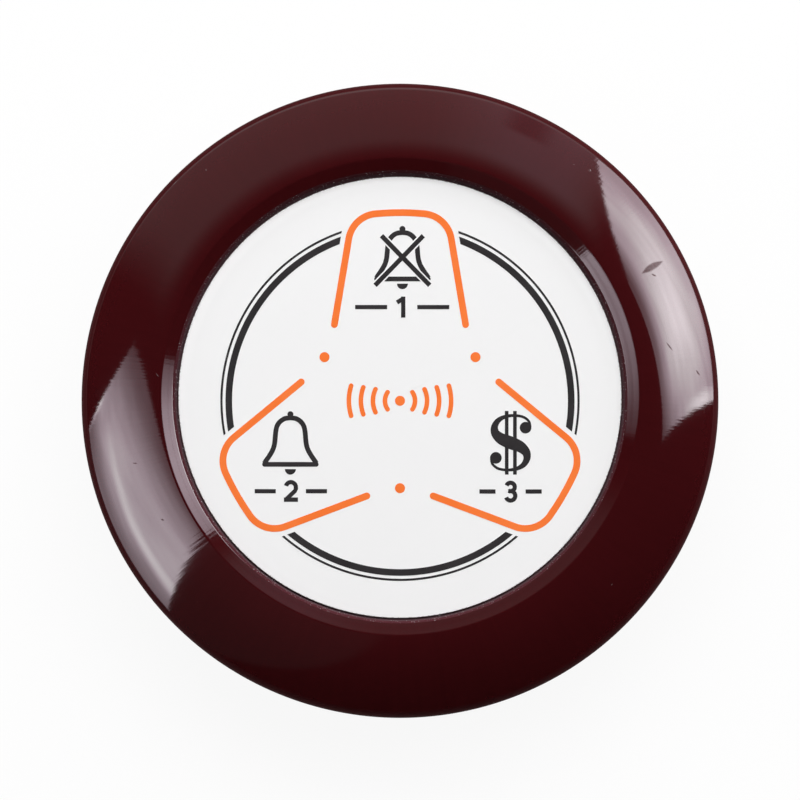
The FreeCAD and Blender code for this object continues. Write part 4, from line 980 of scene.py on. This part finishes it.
def board_finish():
    """Green solder mask with paler tracks, pads and a fibre grain."""
    f = Finish("green_board")
    weave = f.math("SINE", f.x * 7.0) * f.math("SINE", f.y * 7.0)
    tracks = f.math("PINGPONG", f.radius() + f.noise(6, 1) * 3.0, 1.2)
    track = f.ease(tracks, 0.75, 0.85)
    shade = f.blend(track, (0.012, 0.12, 0.04), (0.02, 0.19, 0.07))
    pads = f.specks(3.4, 0.5, 0.3)
    shade = f.blend(pads, shade, (0.72, 0.66, 0.5))
    f.set(Base_Color=shade, Roughness=0.35 + weave * 0.05, Metallic=pads,
          Normal=f.bump(weave * 0.3 + track, 0.02))
    return f


PLAIN_FINISHES = (  # name, colour, roughness, metallic, grain and its depth, and the CAD nodes
    ("white_keys", (0.78, 0.78, 0.75), 0.45, 0.0, 0.3, 0.006, ("clear_key", "call_key", "bill_key")),
    ("black_plastic", (0.018, 0.018, 0.02), 0.5, 0.0, 0.3, 0.01,
     ("switch_bases", "clear_stem", "call_stem", "bill_stem")),
    ("tinned_steel", (0.62, 0.62, 0.63), 0.32, 1.0, 0.15, 0.004,
     ("switch_plates", "crystal_can", "positive_contact", "negative_contact")),
    ("spring_steel", (0.58, 0.57, 0.55), 0.22, 1.0, 0.1, 0.003, ()),
    ("clear_adhesive", (0.78, 0.78, 0.75), 0.35, 0.0, 0.5, 0.01, ("film_adhesive",)),
    ("copper_wire", (0.72, 0.36, 0.2), 0.28, 1.0, 0.2, 0.004, ("antenna_loop",)),
    ("red_lens", (0.5, 0.02, 0.02), 0.12, 0.0, 0.8, 0.002, ("status_led",)),
    ("zinc_steel", (0.6, 0.6, 0.62), 0.3, 1.0, 0.25, 0.005, ("board_screws",)),
    ("black_rubber", (0.018, 0.018, 0.018), 0.72, 0.0, 0.2, 0.02, ("case_gasket", "door_seal")),
    ("brushed_cell", (0.64, 0.64, 0.62), 0.3, 1.0, 0.2, 0.004, ("coin_cell",)),
)
BLACK_RESIN = ((0.02, 0.02, 0.022), 0.45, 0.0)  # colour, roughness and metallic
BROWN_CERAMIC = ((0.08, 0.06, 0.045), 0.4, 0.0)
TINNED = ((0.6, 0.6, 0.6), 0.3, 1.0)


def dress_nodes():
    """Dress the CAD nodes inside, and give the plain finishes by name."""
    finishes = {}
    for name, *look, nodes in PLAIN_FINISHES:
        finishes[name] = plain_finish(name, *look)
        finishes[name].dress(*nodes)
    board_finish().dress("circuit_board")
    two_finishes("chip_and_leads", lambda f: f.math("ABSOLUTE", f.y) > 1.96,
                 BLACK_RESIN, TINNED).dress("radio_chip")
    two_finishes("tinned_ceramic", lambda f: f.math("ABSOLUTE", f.math("ABSOLUTE", f.x) - 8) > 0.62,
                 BROWN_CERAMIC, TINNED).dress("small_parts")
    return finishes


# Studio ----------------


def camera():
    """Almost straight above, from a metre and a half."""
    elevation, distance = radians(84.7), 1.5
    place = (0, -cos(elevation) * distance, sin(elevation) * distance + RIM_HEIGHT * MM)
    bpy.ops.object.camera_add(location=place, rotation=(pi / 2 - elevation, 0, 0))
    view = bpy.context.object
    view.data.lens = 477.7
    view.data.clip_start, view.data.clip_end = 0.05, 20
    bpy.context.scene.camera = view


def area_lamp(name, centre, facing, roll, size, strength):
    """A rectangular lamp of a given radiance. It gives out light against its facing direction."""
    azimuth, height = facing
    away = Vector((cos(height) * cos(azimuth), cos(height) * sin(azimuth), sin(height)))
    level = Vector((0, 0, 1)).cross(away).normalized()
    turn = Matrix((level, away.cross(level), away)).transposed().to_4x4()
    bpy.ops.object.light_add(type="AREA")
    lamp = bpy.context.object
    lamp.name = name
    lamp.data.shape = "RECTANGLE"
    lamp.data.size, lamp.data.size_y = (part * MM for part in size)
    lamp.data.energy = strength * pi * size[0] * size[1] * MM * MM
    lamp.matrix_world = Matrix.Translation(Vector(centre) * MM) @ turn @ Matrix.Rotation(roll, 4, "Z")
    lamp.visible_camera = False
    return lamp


def soft_box(name, place, mirrored_level, light_level, fades):
    """A soft box: a lamp with fading sides that the gloss mirrors, and one that only lights."""
    glow = area_lamp(name + "_glow", *place, mirrored_level)
    glow.visible_diffuse = False
    cloth = Nodes(glow.data)
    u, v = cloth.outputs("XY", "SeparateXYZ", {0: cloth.node("NewGeometry", output="Parametric")})
    level = fades(cloth, u, v) * (0.7 + cloth.noise(1.0, 4, cloth.vector(u * 3, v * 9, 0)) * 0.6)
    lamp = cloth.tree.nodes["Emission"]
    cloth.feed(lamp.inputs["Strength"], level)
    cloth.feed(lamp.inputs["Color"], cloth.blend(cloth.ease(level * mirrored_level, 6, 11),
                                                 (1.0, 0.86, 0.965), (1.0, 0.94, 0.98)))
    light = area_lamp(name + "_light", *place, light_level)
    light.location += light.matrix_world.col[2].to_3d() * 0.02
    light.visible_glossy = False


def left_cloth(cloth, u, v):
    """Brightest below the middle, dimmer at the ends and the far side, with one bright fold."""
    level = (0.3 + cloth.ease(v, 0.05, 0.33) * 0.7) * (1 - cloth.ease(v, 0.33, 1.0) * 0.86)
    fold = cloth.beside(v + u * 0.22 - 0.42, 0.0, 0.07) * cloth.ease(u, 0.3, 1.0)
    hem = (1 - cloth.ease(u, 0.03, 0.07)) * (1 - cloth.ease(v, 0.3, 0.45))
    level = level * (0.76 + cloth.ease(u, 0.1, 0.65) * 0.24 + fold * 0.75 + hem * 0.7)
    return level * (u + v * (1 - v) * 0.06 < 1.0)


def right_cloth(cloth, u, v):
    """Brightest in the first third across, with a crease, a pale hem and a frayed end."""
    slant = v + cloth.ease(u, 0.3, 0.9) * 0.1
    level = (0.48 + cloth.ease(v, 0.0, 0.25) * 0.52) * (1 - cloth.ease(slant, 0.33, 1.0) * 0.87)
    across = 0.62 + cloth.ease(u, 0.0, 0.45) * 0.5 - cloth.ease(u, 0.5, 1.0) * 0.42
    fringe = cloth.noise(1.0, 2, cloth.vector(v * 45, 0, 0))
    hem = (1 - cloth.ease(u, 0.03, 0.09)) * (1 - cloth.ease(v, 0.2, 0.5))
    crease = cloth.beside(v - u * 0.12 - 0.12, 0.0, 0.03)
    return level * (across + hem * 0.45 - crease * 0.08) * (u < 0.935 + fringe * 0.06)


# Of each soft box: centre in millimetres, facing (azimuth and height in radians), roll and size.
LEFT_BOX = ((-551, -9, 432), (4.3827, 0.4022), -0.1442, (716, 822))
RIGHT_BOX = ((474, 190, 478), (0.6248, -0.1166), 0.1505, (421, 993))


def lamps():
    """The two soft boxes that the gloss mirrors, and two lamps that only light."""
    soft_box("left_box", LEFT_BOX, 8.5, 0.7, left_cloth)
    soft_box("right_box", RIGHT_BOX, 13.0, 2.1, right_cloth)
    for lamp in (area_lamp("window", (0, 900, 640), (pi / 2, 0.6), 0, (1500, 900), 2.9),
                 area_lamp("top_fill", (0, 700, 1200), (pi / 2, 1.05), 0, (1600, 1200), 1.0)):
        lamp.visible_glossy = False


def surroundings():
    """A dark room with a dim wall, a curtain, a chair and a corner; the camera sees white."""
    world = bpy.data.worlds.new("studio")
    bpy.context.scene.world = world
    sky = Nodes(world)
    direction = sky.node("TexCoord", output="Generated")
    east, north, height = sky.outputs("XYZ", "SeparateXYZ", {0: direction})
    azimuth = sky.math("ARCTAN2", north, east) * (180 / pi)
    seen = sky.node("LightPath", output="Is Camera Ray")
    horizon = sky.math("MAXIMUM", 1 - sky.ease(height, 0.0, 0.03), seen)
    wall = sky.ease(azimuth, 45, 52) * (1 - sky.ease(azimuth, 138, 153))
    wall = wall * (1 - sky.ease(height, 0.80, 0.96))
    curtain = sky.ease(azimuth, 48, 58) * (1 - sky.ease(azimuth, 66, 88))
    chair = sky.beside(azimuth - 67, 1.0, 6) * (1 - sky.ease(height, 0.34, 0.46))
    corner = 1 - sky.ease(azimuth - height * 36.3, -135.6, -131.6)
    level = wall * (0.35 + curtain * 0.34) * (1 - chair * 0.55) + corner * 0.06 + 0.01
    background = sky.tree.nodes["Background"].inputs
    sky.feed(background["Color"], sky.blend(curtain * wall, (1, 1, 1), (1.0, 0.87, 0.98)))
    sky.feed(background["Strength"], level * (1 - horizon) + horizon)


def table_top():
    """A wide white table top that keeps a faint shadow and isn't seen from below."""
    bpy.ops.object.select_all(action="DESELECT")
    bpy.ops.mesh.primitive_circle_add(vertices=96, radius=3.0, fill_type="NGON")
    top = bpy.context.object
    top.name = "floor"
    material = bpy.data.materials.new("floor")
    table = Nodes(material)
    seen, glossy, through_glass, shadow = table.outputs(
        ("Is Camera Ray", "Is Glossy Ray", "Is Transmission Ray", "Is Shadow Ray"), "LightPath")
    paper = table.node("BsdfDiffuse", {}, {"Color": (0.93, 0.93, 0.93)})
    white = table.node("Emission", {}, {"Color": (1, 1, 1), "Strength": 1.0})
    direct = table.math("MINIMUM", seen + glossy + through_glass, 1.0)
    lit = table.mix(direct * 0.92, paper, white)
    back = table.node("NewGeometry", output="Backfacing")
    table.end_with(table.mix(table.math("MAXIMUM", back, shadow), lit, table.node("BsdfTransparent")))
    material.cycles.emission_sampling = "NONE"
    top.data.materials.append(material)


# Everything together ----------------


def main():
    """Model and dress every piece, and set up the studio."""
    case, bottom, door, feet, screws = place_case()
    films, dark, orange = place_film()
    domes = [snap_dome(key, turn) for key, turn in KEY_TURNS.items()]
    burgundy_gloss().finish(case)
    burgundy_satin().finish(bottom, door)
    white_film().finish(*films)
    printing_ink("dark_ink", (0.028, 0.0255, 0.027), (0.036, 0.033, 0.0345)).finish(*dark)
    printing_ink("orange_ink", (0.93, 0.190, 0.036), (0.95, 0.210, 0.048)).finish(*orange)
    plain = dress_nodes()
    plain["spring_steel"].finish(*domes)
    plain["zinc_steel"].finish(screws)
    plain["black_rubber"].finish(feet)
    camera()
    lamps()
    surroundings()
    table_top()
    bpy.context.scene.view_settings.view_transform = "Standard"


main()
